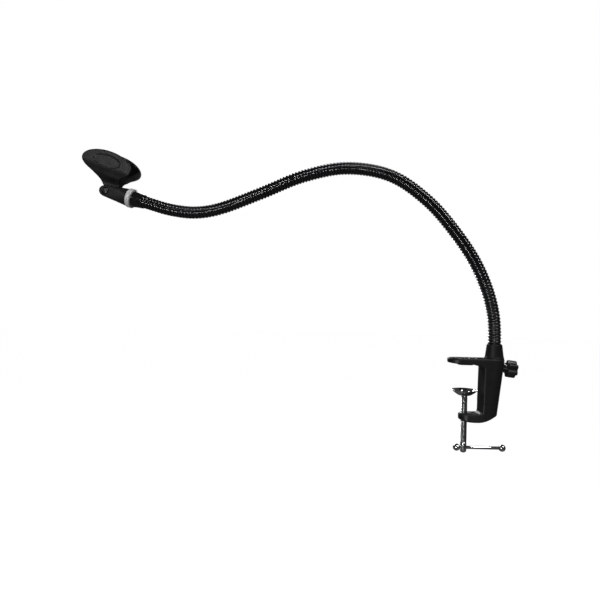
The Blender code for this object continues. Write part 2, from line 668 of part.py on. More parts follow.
def cradle_section():
    """The cradle's section: a round trough whose two wings lean together, as level and up."""
    lean = 2.0 * MM
    outer = arc((0.0, CRADLE_AXIS), CRADLE_OUTER, 180.0, 360.0, 20)
    inner = arc((0.0, CRADLE_AXIS), CRADLE_INNER, 360.0, 180.0, 16)
    top = CRADLE_TOP + 4.0 * MM
    wall_out, wall_in = CRADLE_OUTER - lean, CRADLE_INNER - lean
    return outer + [(wall_out, top), (wall_in, top)] + inner + [(-wall_in, top), (-wall_out, top)]


def build_mic_clip():
    """The sprung cradle for the microphone, with the tongue that pivots in the fork."""
    up, level, along = end_axes(CRADLE_PITCH)
    place = end_place(CRADLE_PITCH)
    end_on = frame_at(PIVOT + along * CRADLE_MIDDLE, level, up, -along)
    clip = extruded("mic_clip", cradle_section(), 100.0 * MM, "black_rubber", end_on)
    side_view = place @ Matrix.Rotation(radians(90.0), 4, "X")
    oval = []
    for i in range(36):
        angle = 2 * pi * i / 36
        oval.append((33.0 * MM + CRADLE_HALF_HEIGHT * sin(angle), CRADLE_HALF_LENGTH * cos(angle)))
    oval = [(up, CRADLE_MIDDLE + reach) for up, reach in oval]
    combine(clip, extruded("cradle_side_guide", oval, 60.0 * MM, None, side_view), "INTERSECT")
    tongue = arc((0.0, 0.0), BASE_END_RADIUS - 0.2 * MM, -100.0, -260.0, 14)
    tongue += [(8.0 * MM, 9.5 * MM), (17.3 * MM, 15.0 * MM), (17.3 * MM, -19.0 * MM), (10.0 * MM, -14.0 * MM)]
    tongue_guide = extruded("tongue_guide", tongue, TONGUE_WIDTH, None, side_view)
    combine(clip, tongue_guide, "UNION")
    bore = rod_guide("tongue_bore_guide", PIVOT_SCREW_RADIUS + GAP, side_view, 40.0 * MM)
    combine(clip, bore, "DIFFERENCE")


def main():
    """Builds the whole stand."""
    clear_scene()
    build_clamp()
    build_pad()
    build_screw()
    build_disc()
    build_cross_bar()
    build_lock()
    build_root()
    along = end_axes(END_PITCH)[2]
    route = NeckRoute(NECK_ROUTE, PIVOT + along * (SLEEVE_FROM_PIVOT - GAP), along)
    build_neck(route)
    build_neck_end()
    build_clip_base()
    build_pivot()
    build_mic_clip()


main()
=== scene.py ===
"""Desktop microphone stand: the visible model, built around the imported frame.

Sizes are metres in the frame's own axes: the origin is the middle of the jaw pad's underside, +Z is
up, and the neck reaches along -X from the clamp to the microphone clip.
"""
import logging
from dataclasses import dataclass
from enum import Enum
from math import asin, cos, pi, radians, sin, sqrt, tan, tau
from typing import Optional, Sequence, Union

import bmesh
import bpy
from mathutils import Matrix, Vector


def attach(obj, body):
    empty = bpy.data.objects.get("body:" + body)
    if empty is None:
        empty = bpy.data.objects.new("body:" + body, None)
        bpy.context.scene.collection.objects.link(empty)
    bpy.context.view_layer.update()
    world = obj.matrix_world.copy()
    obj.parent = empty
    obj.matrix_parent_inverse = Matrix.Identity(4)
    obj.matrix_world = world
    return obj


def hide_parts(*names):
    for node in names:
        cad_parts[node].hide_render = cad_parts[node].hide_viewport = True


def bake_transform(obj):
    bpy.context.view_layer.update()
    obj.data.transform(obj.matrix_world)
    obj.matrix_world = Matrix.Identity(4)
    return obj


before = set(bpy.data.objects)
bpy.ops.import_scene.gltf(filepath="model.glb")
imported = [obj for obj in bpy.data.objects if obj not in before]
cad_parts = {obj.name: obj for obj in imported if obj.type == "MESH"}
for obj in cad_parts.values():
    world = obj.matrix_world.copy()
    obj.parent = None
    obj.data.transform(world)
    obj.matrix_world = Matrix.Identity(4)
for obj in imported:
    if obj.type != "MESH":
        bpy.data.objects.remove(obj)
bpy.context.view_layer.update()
LOG = logging.getLogger("microphone_stand")
MM = 0.001
SHARP_ANGLE = radians(38.0)
Outline = list[tuple[float, float]]


# ---------------------------------------------------------------- node graphs


class Signal:
    """A node socket that takes part in expressions, as a number or as a vector."""

    def __init__(self, graph: "Graph", socket: bpy.types.NodeSocket, vector: bool = False) -> None:
        """Wraps a socket of a graph.

        Args:
            graph: The graph that the socket is in.
            socket: An output socket.
            vector: Whether its arithmetic is a vector's.
        """
        self.graph = graph
        self.socket = socket
        self.vector = vector

    def _with(self, operation: str, *others: "Operand") -> "Signal":
        """A Math or Vector Math node on this signal and others.

        Args:
            operation: The node's operation.
            others: The values or signals of its further inputs.

        Returns:
            The node's result.
        """
        inputs = dict(enumerate((self, *others)))
        if not self.vector:
            node = self.graph.add("ShaderNodeMath", inputs, operation=operation)
            return Signal(self.graph, node.outputs[0])
        if operation == "SCALE":
            inputs = {0: self, "Scale": others[0]}
        node = self.graph.add("ShaderNodeVectorMath", inputs, operation=operation)
        if operation in ("DOT_PRODUCT", "LENGTH"):
            return Signal(self.graph, node.outputs["Value"])
        return Signal(self.graph, node.outputs["Vector"], True)

    def _lift(self, value: "Operand") -> "Signal":
        """The value as a signal, so that it can stand first in an operation.

        Args:
            value: A number or a signal.

        Returns:
            The signal.
        """
        if isinstance(value, Signal):
            return value
        node = self.graph.add("ShaderNodeMath", {0: value, 1: 0.0}, operation="ADD")
        return Signal(self.graph, node.outputs[0])

    def __add__(self, other: "Operand") -> "Signal":
        """Sum."""
        return self._with("ADD", other)

    __radd__ = __add__

    def __sub__(self, other: "Operand") -> "Signal":
        """Difference."""
        return self._with("SUBTRACT", other)

    def __rsub__(self, other: "Operand") -> "Signal":
        """Difference from a number."""
        return self._lift(other)._with("SUBTRACT", self)

    def __mul__(self, other: "Operand") -> "Signal":
        """Product, or a vector scaled by a number."""
        return self._with("SCALE" if self.vector else "MULTIPLY", other)

    __rmul__ = __mul__

    def __truediv__(self, other: "Operand") -> "Signal":
        """Quotient."""
        return self._with("DIVIDE", other)

    def __rtruediv__(self, other: "Operand") -> "Signal":
        """A number divided by this."""
        return self._lift(other)._with("DIVIDE", self)

    def __neg__(self) -> "Signal":
        """Negative."""
        return self * -1.0

    def __pow__(self, other: "Operand") -> "Signal":
        """Power."""
        return self._with("POWER", other)

    def __abs__(self) -> "Signal":
        """Size without sign."""
        return self._with("ABSOLUTE")

    def least(self, other: "Operand") -> "Signal":
        """The smaller of the two."""
        return self._with("MINIMUM", other)

    def most(self, other: "Operand") -> "Signal":
        """The larger of the two."""
        return self._with("MAXIMUM", other)

    def within(self, low: "Operand", high: "Operand") -> "Signal":
        """This, kept between two limits."""
        return self.most(low).least(high)

    def joined(self, other: "Operand", radius: float) -> "Signal":
        """A smooth minimum: two solids' fields joined with a fillet."""
        return self._with("SMOOTH_MIN", other, radius)

    def kept(self, other: "Operand", radius: float) -> "Signal":
        """A smooth maximum: what two solids' fields share, with a rounded edge."""
        return self._with("SMOOTH_MAX", other, radius)

    def root(self) -> "Signal":
        """Square root."""
        return self._with("SQRT")

    def sine(self) -> "Signal":
        """Sine."""
        return self._with("SINE")

    def cosine(self) -> "Signal":
        """Cosine."""
        return self._with("COSINE")

    def fraction(self) -> "Signal":
        """Fractional part."""
        return self._with("FRACT")

    def cross(self, other: "Operand") -> "Signal":
        """Cross product."""
        return self._with("CROSS_PRODUCT", other)

    def unit(self) -> "Signal":
        """The vector at length one."""
        return self._with("NORMALIZE")


Operand = Union[Signal, float, Sequence[float]]


def length_of(*parts: Signal) -> Signal:
    """The length of a vector given by its parts.

    Args:
        parts: The vector's parts.

    Returns:
        Its length.
    """
    total = parts[0] * parts[0]
    for part in parts[1:]:
        total = total + part * part
    return total.root()


class Graph:
    """A node tree that is written as expressions."""

    def __init__(self, tree: bpy.types.NodeTree) -> None:
        """Wraps a node tree."""
        self.tree = tree

    def add(self, kind: str, inputs: Optional[dict] = None, **settings: object) -> bpy.types.Node:
        """Adds one node of any type.

        Args:
            kind: The node's type name.
            inputs: Values or signals by socket name, identifier or number.
            settings: The node's own properties, which are set first.

        Returns:
            The node.
        """
        node = self.tree.nodes.new(kind)
        for name, value in settings.items():
            setattr(node, name, value)
        for key, value in (inputs or {}).items():
            socket = self.input_of(node, key)
            if isinstance(value, Signal):
                self.tree.links.new(value.socket, socket)
            elif isinstance(value, bpy.types.NodeSocket):
                self.tree.links.new(value, socket)
            else:
                socket.default_value = value
        return node

    @staticmethod
    def input_of(node: bpy.types.Node, key: Union[int, str]) -> bpy.types.NodeSocket:
        """The input with a number, an identifier or a name.

        Args:
            node: The node.
            key: The input's number, identifier or name.

        Returns:
            The input socket.
        """
        if isinstance(key, int):
            return node.inputs[key]
        for socket in node.inputs:
            if socket.identifier == key:
                return socket
        return node.inputs[key]

    def parts(self, vector: Signal) -> tuple[Signal, Signal, Signal]:
        """A vector's three parts."""
        node = self.add("ShaderNodeSeparateXYZ", {0: vector})
        return tuple(Signal(self, socket) for socket in node.outputs)

    def vector(self, x: Operand, y: Operand, z: Operand) -> Signal:
        """A vector from its three parts."""
        node = self.add("ShaderNodeCombineXYZ", {0: x, 1: y, 2: z})
        return Signal(self, node.outputs[0], True)


class GeometryTree(Graph):
    """A Geometry Nodes tree with named inputs, which ends in Realize Instances and Set Material."""

    def __init__(self, name: str) -> None:
        """Starts a tree with a geometry input and a material input.

        Args:
            name: The tree's name.
        """
        super().__init__(bpy.data.node_groups.new(name, "GeometryNodeTree"))
        self.identifiers: dict[str, str] = {}
        self.entry = self.tree.nodes.new("NodeGroupInput")
        self.host = self.named_input("Host", "NodeSocketGeometry")
        self.finish = self.named_input("Finish", "NodeSocketMaterial")

    def named_input(
        self, name: str, kind: str = "NodeSocketFloat", value: Optional[float] = None
    ) -> Signal:
        """Adds an input to the tree.

        Args:
            name: The input's name.
            kind: Its socket type.
            value: Its first value.

        Returns:
            The input as a signal.
        """
        item = self.tree.interface.new_socket(name, in_out="INPUT", socket_type=kind)
        if value is not None:
            item.default_value = value
        self.identifiers[name] = item.identifier
        socket = next(s for s in self.entry.outputs if s.identifier == item.identifier)
        return Signal(self, socket)

    def make(
        self, geometry: bpy.types.NodeSocket, name: str, source: bpy.types.Mesh, **values: object
    ) -> bpy.types.Object:
        """Ends the tree with a geometry, runs it on a source mesh and takes the result as a plain mesh.

        Args:
            geometry: What the tree makes.
            name: The result's name.
            source: The mesh that the tree is given.
            values: The inputs' values, by name with _ for a space.

        Returns:
            The new mesh object, linked to the scene.
        """
        if not any(node.bl_idname == "NodeGroupOutput" for node in self.tree.nodes):
            self.tree.interface.new_socket("Result", in_out="OUTPUT", socket_type="NodeSocketGeometry")
            realised = self.add("GeometryNodeRealizeInstances", {"Geometry": geometry})
            dressed = self.add(
                "GeometryNodeSetMaterial", {"Geometry": realised.outputs[0], "Material": self.finish}
            )
            self.add("NodeGroupOutput", {0: dressed.outputs[0]})
        host = bpy.data.objects.new(f"{name}_host", source)
        bpy.context.scene.collection.objects.link(host)
        modifier = host.modifiers.new("make", "NODES")
        modifier.node_group = self.tree
        for key, value in values.items():
            modifier[self.identifiers[key.replace("_", " ")]] = value
        bpy.context.view_layer.update()
        depsgraph = bpy.context.evaluated_depsgraph_get()
        mesh = bpy.data.meshes.new_from_object(host.evaluated_get(depsgraph), depsgraph=depsgraph)
        bpy.data.objects.remove(host, do_unlink=True)
        mesh.materials.clear()
        mesh.materials.append(values["Finish"])
        return place_mesh(name, mesh)


# ------------------------------------------------------------------ finishes


@dataclass(frozen=True)
class Finish:
    """A surface finish: a Principled shader whose detail comes from Object coordinates."""

    name: str
    colour: tuple[float, float, float]
    roughness: float
    metallic: float = 0.0

    def material(self) -> bpy.types.Material:
        """The finish as a material, made once.

        Returns:
            The material.
        """
        if self.name in bpy.data.materials:
            return bpy.data.materials[self.name]
        material = bpy.data.materials.new(self.name)
        material.use_nodes = True
        graph = Graph(material.node_tree)
        shader = material.node_tree.nodes["Principled BSDF"]
        coordinates = graph.add("ShaderNodeTexCoord")
        self.dress(graph, shader, Signal(graph, coordinates.outputs["Object"], True))
        return material

    def dress(self, graph: Graph, shader: bpy.types.Node, place: Signal) -> None:
        """Sets the shader's sockets.

        Args:
            graph: The material's graph.
            shader: Its Principled shader.
            place: The surface point in Object coordinates.
        """
        raise NotImplementedError

    def noise(self, graph: Graph, place: Signal, size: float, detail: float = 3.0) -> Signal:
        """Noise with features of a size.

        Args:
            graph: The material's graph.
            place: The point that it is read at.
            size: The features' size, in metres.
            detail: How many octaves it has.

        Returns:
            A value about one half.
        """
        inputs = {"Vector": place, "Scale": 1.0 / size, "Detail": detail, "Roughness": 0.55}
        return Signal(graph, graph.add("ShaderNodeTexNoise", inputs).outputs[0])

    def tint(
        self, graph: Graph, share: Operand, first: Sequence[float], second: Sequence[float]
    ) -> Signal:
        """A colour between two.

        Args:
            graph: The material's graph.
            share: How far from the first to the second, from 0 to 1.
            first: The first colour.
            second: The second colour.

        Returns:
            The colour.
        """
        inputs = {"Factor_Float": share, "A_Color": (*first, 1.0), "B_Color": (*second, 1.0)}
        node = graph.add("ShaderNodeMix", inputs, data_type="RGBA")
        return Signal(graph, node.outputs[2])

    def bump(
        self, graph: Graph, shader: bpy.types.Node, height: Signal, depth: float, strength: float
    ) -> None:
        """Feeds a height into the shader's normal.

        Args:
            graph: The material's graph.
            shader: Its Principled shader.
            height: The height, about 0 to 1.
            depth: The depth that a height of 1 stands for, in metres.
            strength: How much of it shows.
        """
        node = graph.add("ShaderNodeBump", {"Strength": strength, "Distance": depth, "Height": height})
        graph.tree.links.new(node.outputs[0], shader.inputs["Normal"])

    def feed(self, graph: Graph, shader: bpy.types.Node, **signals: Signal) -> None:
        """Links signals to the shader's inputs.

        Args:
            graph: The material's graph.
            shader: Its Principled shader.
            signals: The signals, by the input's name with _ for a space.
        """
        for name, signal in signals.items():
            graph.tree.links.new(signal.socket, shader.inputs[name.replace("_", " ")])

    def lighter(self, factor: float) -> tuple[float, float, float]:
        """The finish's colour, scaled."""
        return tuple(min(part * factor, 1.0) for part in self.colour)


@dataclass(frozen=True)
class PowderCoat(Finish):
    """Satin powder coat: a fine orange peel with a few dull patches."""

    grain: float = 0.45 * MM
    peel: float = 0.04 * MM

    def dress(self, graph: Graph, shader: bpy.types.Node, place: Signal) -> None:
        """Sets the shader's sockets.

        Args:
            graph: The material's graph.
            shader: Its Principled shader.
            place: The surface point in Object coordinates.
        """
        patches = self.noise(graph, place, 14.0 * MM, 4.0)
        grain = self.noise(graph, place, self.grain, 2.0)
        colour = self.tint(graph, patches, self.lighter(0.7), self.lighter(1.35))
        rough = self.roughness + (patches - 0.5) * 0.16 + (grain - 0.5) * 0.1
        self.feed(graph, shader, Base_Color=colour, Roughness=rough)
        self.bump(graph, shader, grain, self.peel, 0.5)
        shader.inputs["Specular IOR Level"].default_value = 0.45


@dataclass(frozen=True)
class Moulded(Finish):
    """Moulded plastic or hard rubber: spark-eroded texture, with rubbed smoother patches."""

    grain: float = 0.3 * MM
    depth: float = 0.03 * MM

    def dress(self, graph: Graph, shader: bpy.types.Node, place: Signal) -> None:
        """Sets the shader's sockets.

        Args:
            graph: The material's graph.
            shader: Its Principled shader.
            place: The surface point in Object coordinates.
        """
        rubbed = self.noise(graph, place, 9.0 * MM, 3.0)
        grain = self.noise(graph, place, self.grain, 3.0)
        flow = self.noise(graph, place, 3.0 * MM, 2.0)
        colour = self.tint(graph, rubbed, self.lighter(0.75), self.lighter(1.3))
        rough = self.roughness + (rubbed - 0.5) * 0.2 + (grain - 0.5) * 0.08
        self.feed(graph, shader, Base_Color=colour, Roughness=rough)
        self.bump(graph, shader, grain + flow * 0.6, self.depth, 0.4)


@dataclass(frozen=True)
class GlossSleeve(Finish):
    """A glossy shrunk sleeve with long soft waves under a clear shine."""

    wave: float = 7.0 * MM

    def dress(self, graph: Graph, shader: bpy.types.Node, place: Signal) -> None:
        """Sets the shader's sockets.

        Args:
            graph: The material's graph.
            shader: Its Principled shader.
            place: The surface point in Object coordinates.
        """
        waves = self.noise(graph, place, self.wave, 1.0)
        dust = self.noise(graph, place, 0.5 * MM, 3.0)
        colour = self.tint(graph, dust, self.lighter(0.8), self.lighter(1.4))
        rough = self.roughness + (dust - 0.5) * 0.12
        self.feed(graph, shader, Base_Color=colour, Roughness=rough)
        self.bump(graph, shader, waves, 0.9 * MM, 0.35)
        shader.inputs["Coat Weight"].default_value = 0.4
        shader.inputs["Coat Roughness"].default_value = 0.06


@dataclass(frozen=True)
class Plated(Finish):
    """Plated or turned metal: fine brushing across one axis, haze, and tiny scratches."""

    brushing: tuple[float, float, float] = (1.0, 1.0, 40.0)
    haze: float = 0.08

    def dress(self, graph: Graph, shader: bpy.types.Node, place: Signal) -> None:
        """Sets the shader's sockets.

        Args:
            graph: The material's graph.
            shader: Its Principled shader.
            place: The surface point in Object coordinates.
        """
        stretched = graph.add("ShaderNodeMapping", {"Vector": place, "Scale": self.brushing})
        lines = self.noise(graph, Signal(graph, stretched.outputs[0], True), 6.0 * MM, 5.0)
        cloud = self.noise(graph, place, 5.0 * MM, 3.0)
        colour = self.tint(graph, cloud, self.lighter(0.93), self.lighter(1.04))
        rough = self.roughness + (lines - 0.5) * self.haze + (cloud - 0.5) * self.haze
        self.feed(graph, shader, Base_Color=colour, Roughness=rough.most(0.02))
        shader.inputs["Metallic"].default_value = self.metallic
        self.bump(graph, shader, lines, 0.006 * MM, 0.25)


@dataclass(frozen=True)
class CoilSteel(Finish):
    """Blackened spring wire: glossy on its crown, with drawn streaks and worn specks."""

    def dress(self, graph: Graph, shader: bpy.types.Node, place: Signal) -> None:
        """Sets the shader's sockets.

        Args:
            graph: The material's graph.
            shader: Its Principled shader.
            place: The surface point in Object coordinates.
        """
        streaks = self.noise(graph, place, 1.2 * MM, 4.0)
        specks = self.noise(graph, place, 0.35 * MM, 2.0)
        colour = self.tint(graph, streaks, self.lighter(0.7), self.lighter(1.6))
        rough = self.roughness + (streaks - 0.5) * 0.14 + (specks - 0.5) * 0.08
        self.feed(graph, shader, Base_Color=colour, Roughness=rough)
        self.bump(graph, shader, specks, 0.008 * MM, 0.2)
        shader.inputs["Metallic"].default_value = self.metallic


CASTING = PowderCoat("black_casting_coat", (0.0125, 0.0125, 0.0135), 0.44)
FERRULE_COAT = PowderCoat("black_ferrule_coat", (0.0095, 0.0095, 0.0105), 0.4, grain=0.6 * MM)
COIL = CoilSteel("black_coil_wire", (0.1, 0.1, 0.103), 0.13, 1.0)
SLEEVE = GlossSleeve("black_gloss_sleeve", (0.007, 0.007, 0.008), 0.16)
PAD = Moulded("black_pad_rubber", (0.016, 0.016, 0.016), 0.85, grain=0.5 * MM, depth=0.06 * MM)
SHELL = Moulded("black_clip_rubber", (0.0135, 0.0135, 0.014), 0.42)
BODY = Moulded("black_clip_plastic", (0.012, 0.012, 0.0125), 0.48, grain=0.4 * MM)
KNOB = Moulded("black_knob_plastic", (0.012, 0.012, 0.0125), 0.36, grain=0.5 * MM)
CHROME = Plated("bright_chrome", (0.86, 0.865, 0.87), 0.07, 1.0)
THREAD_CHROME = Plated("chrome_thread", (0.72, 0.725, 0.73), 0.1, 1.0, haze=0.08)
SATIN = Plated("satin_collar", (0.97, 0.97, 0.97), 0.42, 0.3, haze=0.04)
GUNMETAL = Plated("blackened_steel", (0.1, 0.1, 0.105), 0.36, 1.0, haze=0.2)
ZINC = Plated("zinc_steel", (0.62, 0.63, 0.65), 0.3, 1.0, haze=0.18)
STUD_STEEL = Plated("dark_stud_steel", (0.2, 0.2, 0.205), 0.34, 1.0, haze=0.15)
BRASS = Plated("turned_brass", (0.78, 0.58, 0.26), 0.28, 1.0, haze=0.15)


# -------------------------------------------------------------- mesh helpers


def place_mesh(name: str, mesh: bpy.types.Mesh) -> bpy.types.Object:
    """Links a mesh as an object at the origin, smooth but for its creases.

    Args:
        name: The piece's name.
        mesh: Its mesh, with its place in it.

    Returns:
        The object.
    """
    mesh.name = name
    mesh.shade_smooth()
    mesh.set_sharp_from_angle(angle=SHARP_ANGLE)
    piece = bpy.data.objects.new(name, mesh)
    bpy.context.scene.collection.objects.link(piece)
    return piece


def mesh_from(
    name: str, bm: bmesh.types.BMesh, finish: Finish, place: Optional[Matrix] = None
) -> bpy.types.Object:
    """Ends a bmesh as a placed piece with outward faces.

    Args:
        name: The piece's name.
        bm: The shape, which is freed.
        finish: Its finish.
        place: Where it goes, or None to leave it.

    Returns:
        The object.
    """
    bmesh.ops.remove_doubles(bm, verts=bm.verts, dist=1e-7)
    bmesh.ops.recalc_face_normals(bm, faces=bm.faces)
    mesh = bpy.data.meshes.new(name)
    bm.to_mesh(mesh)
    bm.free()
    if place is not None:
        mesh.transform(place)
    mesh.materials.append(finish.material())
    return place_mesh(name, mesh)


def turned(
    name: str, outline: Outline, finish: Finish, place: Matrix, sides: int = 72
) -> bpy.types.Object:
    """A piece turned about its placement's Z axis.

    Args:
        name: The piece's name.
        outline: Radius and height pairs, which close on the axis or on themselves.
        finish: Its finish.
        place: The axis's placement.
        sides: Steps round the axis.

    Returns:
        The object.
    """
    bm = bmesh.new()
    points = [bm.verts.new((radius, 0.0, height)) for radius, height in outline]
    edges = [bm.edges.new(pair) for pair in zip(points, points[1:])]
    if outline[0][0] > 0.0:
        edges.append(bm.edges.new((points[-1], points[0])))
    bmesh.ops.spin(
        bm, geom=points + edges, cent=(0, 0, 0), axis=(0, 0, 1), angle=tau, steps=sides, use_merge=True
    )
    return mesh_from(name, bm, finish, place)


def rounded(outline: Outline, radius: float, steps: int = 3) -> Outline:
    """An outline with its inner corners rounded.

    Args:
        outline: Points, of which the first and last stay.
        radius: The largest corner radius.
        steps: Points along each corner.

    Returns:
        The rounded outline.
    """
    smooth = [outline[0]]
    for before, corner, after in zip(outline, outline[1:], outline[2:]):
        here = Vector(corner)
        back, ahead = Vector(before) - here, Vector(after) - here
        reach = min(radius, back.length * 0.45, ahead.length * 0.45)
        first, last = here + back.normalized() * reach, here + ahead.normalized() * reach
        for i in range(steps + 1):
            share = i / steps
            near = first.lerp(here, share)
            smooth.append(tuple(near.lerp(here.lerp(last, share), share)))
    smooth.append(outline[-1])
    return smooth


def frame_at(origin: Vector, x_axis: Vector, y_axis: Vector, z_axis: Vector) -> Matrix:
    """A placement from an origin and three unit axes.

    Args:
        origin: Where it is.
        x_axis: Its X axis.
        y_axis: Its Y axis.
        z_axis: Its Z axis.

    Returns:
        The placement.
    """
    place = Matrix((x_axis, y_axis, z_axis)).transposed().to_4x4()
    place.translation = origin
    return place


def upright(x: float, z: float) -> Matrix:
    """A placement with an unturned frame at x and z."""
    return Matrix.Translation((x, 0.0, z))


class Solid:
    """A solid given by a field: negative inside, and about the distance to its surface."""

    def __init__(self, name: str, finish: Finish, low: Sequence[float], high: Sequence[float]) -> None:
        """Starts a solid.

        Args:
            name: The piece's name.
            finish: Its finish.
            low: The lowest corner of the space that holds it.
            high: The highest corner.
        """
        self.name = name
        self.finish = finish
        self.low = Vector(low)
        self.high = Vector(high)
        self.tree = GeometryTree(f"{name}_solid")
        self.cell = self.tree.named_input("Cell Size", value=0.6 * MM)
        position = self.tree.add("GeometryNodeInputPosition")
        self.x, self.y, self.z = self.tree.parts(Signal(self.tree, position.outputs[0], True))

    def make(self, field: Signal, place: Matrix, cell: float = 0.6 * MM) -> bpy.types.Object:
        """Meshes the field.

        Args:
            field: The solid's field, in metres.
            place: Where the solid's frame goes.
            cell: The grid's cell size.

        Returns:
            The piece.
        """
        size = self.high - self.low
        counts = [int(part / cell) for part in size]
        density = 1.0 - field / self.cell
        inputs = {"Density": density, "Background": -1.0, "Min": self.low, "Max": self.high}
        inputs.update(zip(("Resolution X", "Resolution Y", "Resolution Z"), counts))
        cube = self.tree.add("GeometryNodeVolumeCube", inputs)
        skin = self.tree.add(
            "GeometryNodeVolumeToMesh", {"Volume": cube.outputs[0], "Threshold": 1.0, "Adaptivity": 0.0}
        )
        source = bpy.data.meshes.new(f"{self.name}_source")
        piece = self.tree.make(
            skin.outputs[0], self.name, source, Cell_Size=cell, Finish=self.finish.material()
        )
        bm = bmesh.new()
        bm.from_mesh(piece.data)
        bmesh.ops.recalc_face_normals(bm, faces=bm.faces)
        bm.to_mesh(piece.data)
        bm.free()
        piece.data.transform(place)
        piece.data.shade_smooth()
        return piece


class Slot(Enum):
    """The record's material slots."""

    CASTING = "black_casting"
    RUBBER = "black_rubber"
    PLASTIC = "black_plastic"
    GLOSS = "black_gloss"
    CHROME = "chrome"
    STEEL = "steel"
    BRASS = "brass"


def fit(piece: bpy.types.Object, body: str, slot: Slot, *nodes: str) -> bpy.types.Object:
    """Makes a piece ride on a body and stand for CAD nodes.

    Args:
        piece: The new piece.
        body: The body that it rides on.
        slot: A material slot; not used.
        nodes: The CAD nodes that it replaces.

    Returns:
        The piece.
    """
    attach(piece, body)
    if nodes:
        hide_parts(*nodes)
    LOG.info("%s rides on %s (%d faces)", piece.name, body, len(piece.data.polygons))
    return piece


def carry(node: str, finish: Finish) -> None:
    """Keeps a CAD node, in a finish of its own.

    Args:
        node: The node's name.
        finish: Its finish.
    """
    kept = bpy.data.objects[node]
    for slot in kept.material_slots:
        slot.material = finish.material()
    LOG.info("%s is carried over in %s", node, finish.name)


def cut(piece: bpy.types.Object, cutter: bpy.types.Object) -> None:
    """Takes one closed mesh out of another.

    Args:
        piece: The piece that is cut.
        cutter: The mesh that is taken out, which is removed.
    """
    modifier = piece.modifiers.new("cut", "BOOLEAN")
    modifier.operation = "DIFFERENCE"
    modifier.solver = "EXACT"
    modifier.object = cutter
    bpy.context.view_layer.update()
    depsgraph = bpy.context.evaluated_depsgraph_get()
    mesh = bpy.data.meshes.new_from_object(piece.evaluated_get(depsgraph), depsgraph=depsgraph)
    piece.modifiers.clear()
    old, piece.data = piece.data, mesh
    bpy.data.meshes.remove(old)
    mesh.name = piece.name
    mesh.set_sharp_from_angle(angle=SHARP_ANGLE)
    bpy.data.objects.remove(cutter, do_unlink=True)


def merged(name: str, *pieces: bpy.types.Object) -> bpy.types.Object:
    """One piece from several with the same finish.

    Args:
        name: The new piece's name.
        pieces: The pieces, which are removed.

    Returns:
        The new piece.
    """
    bm = bmesh.new()
    for piece in pieces:
        bm.from_mesh(piece.data)
    mesh = bpy.data.meshes.new(name)
    bm.to_mesh(mesh)
    bm.free()
    mesh.materials.append(pieces[0].data.materials[0])
    for piece in pieces:
        bpy.data.objects.remove(piece, do_unlink=True)
    return place_mesh(name, mesh)


# ---------------------------------------------------------------- desk clamp


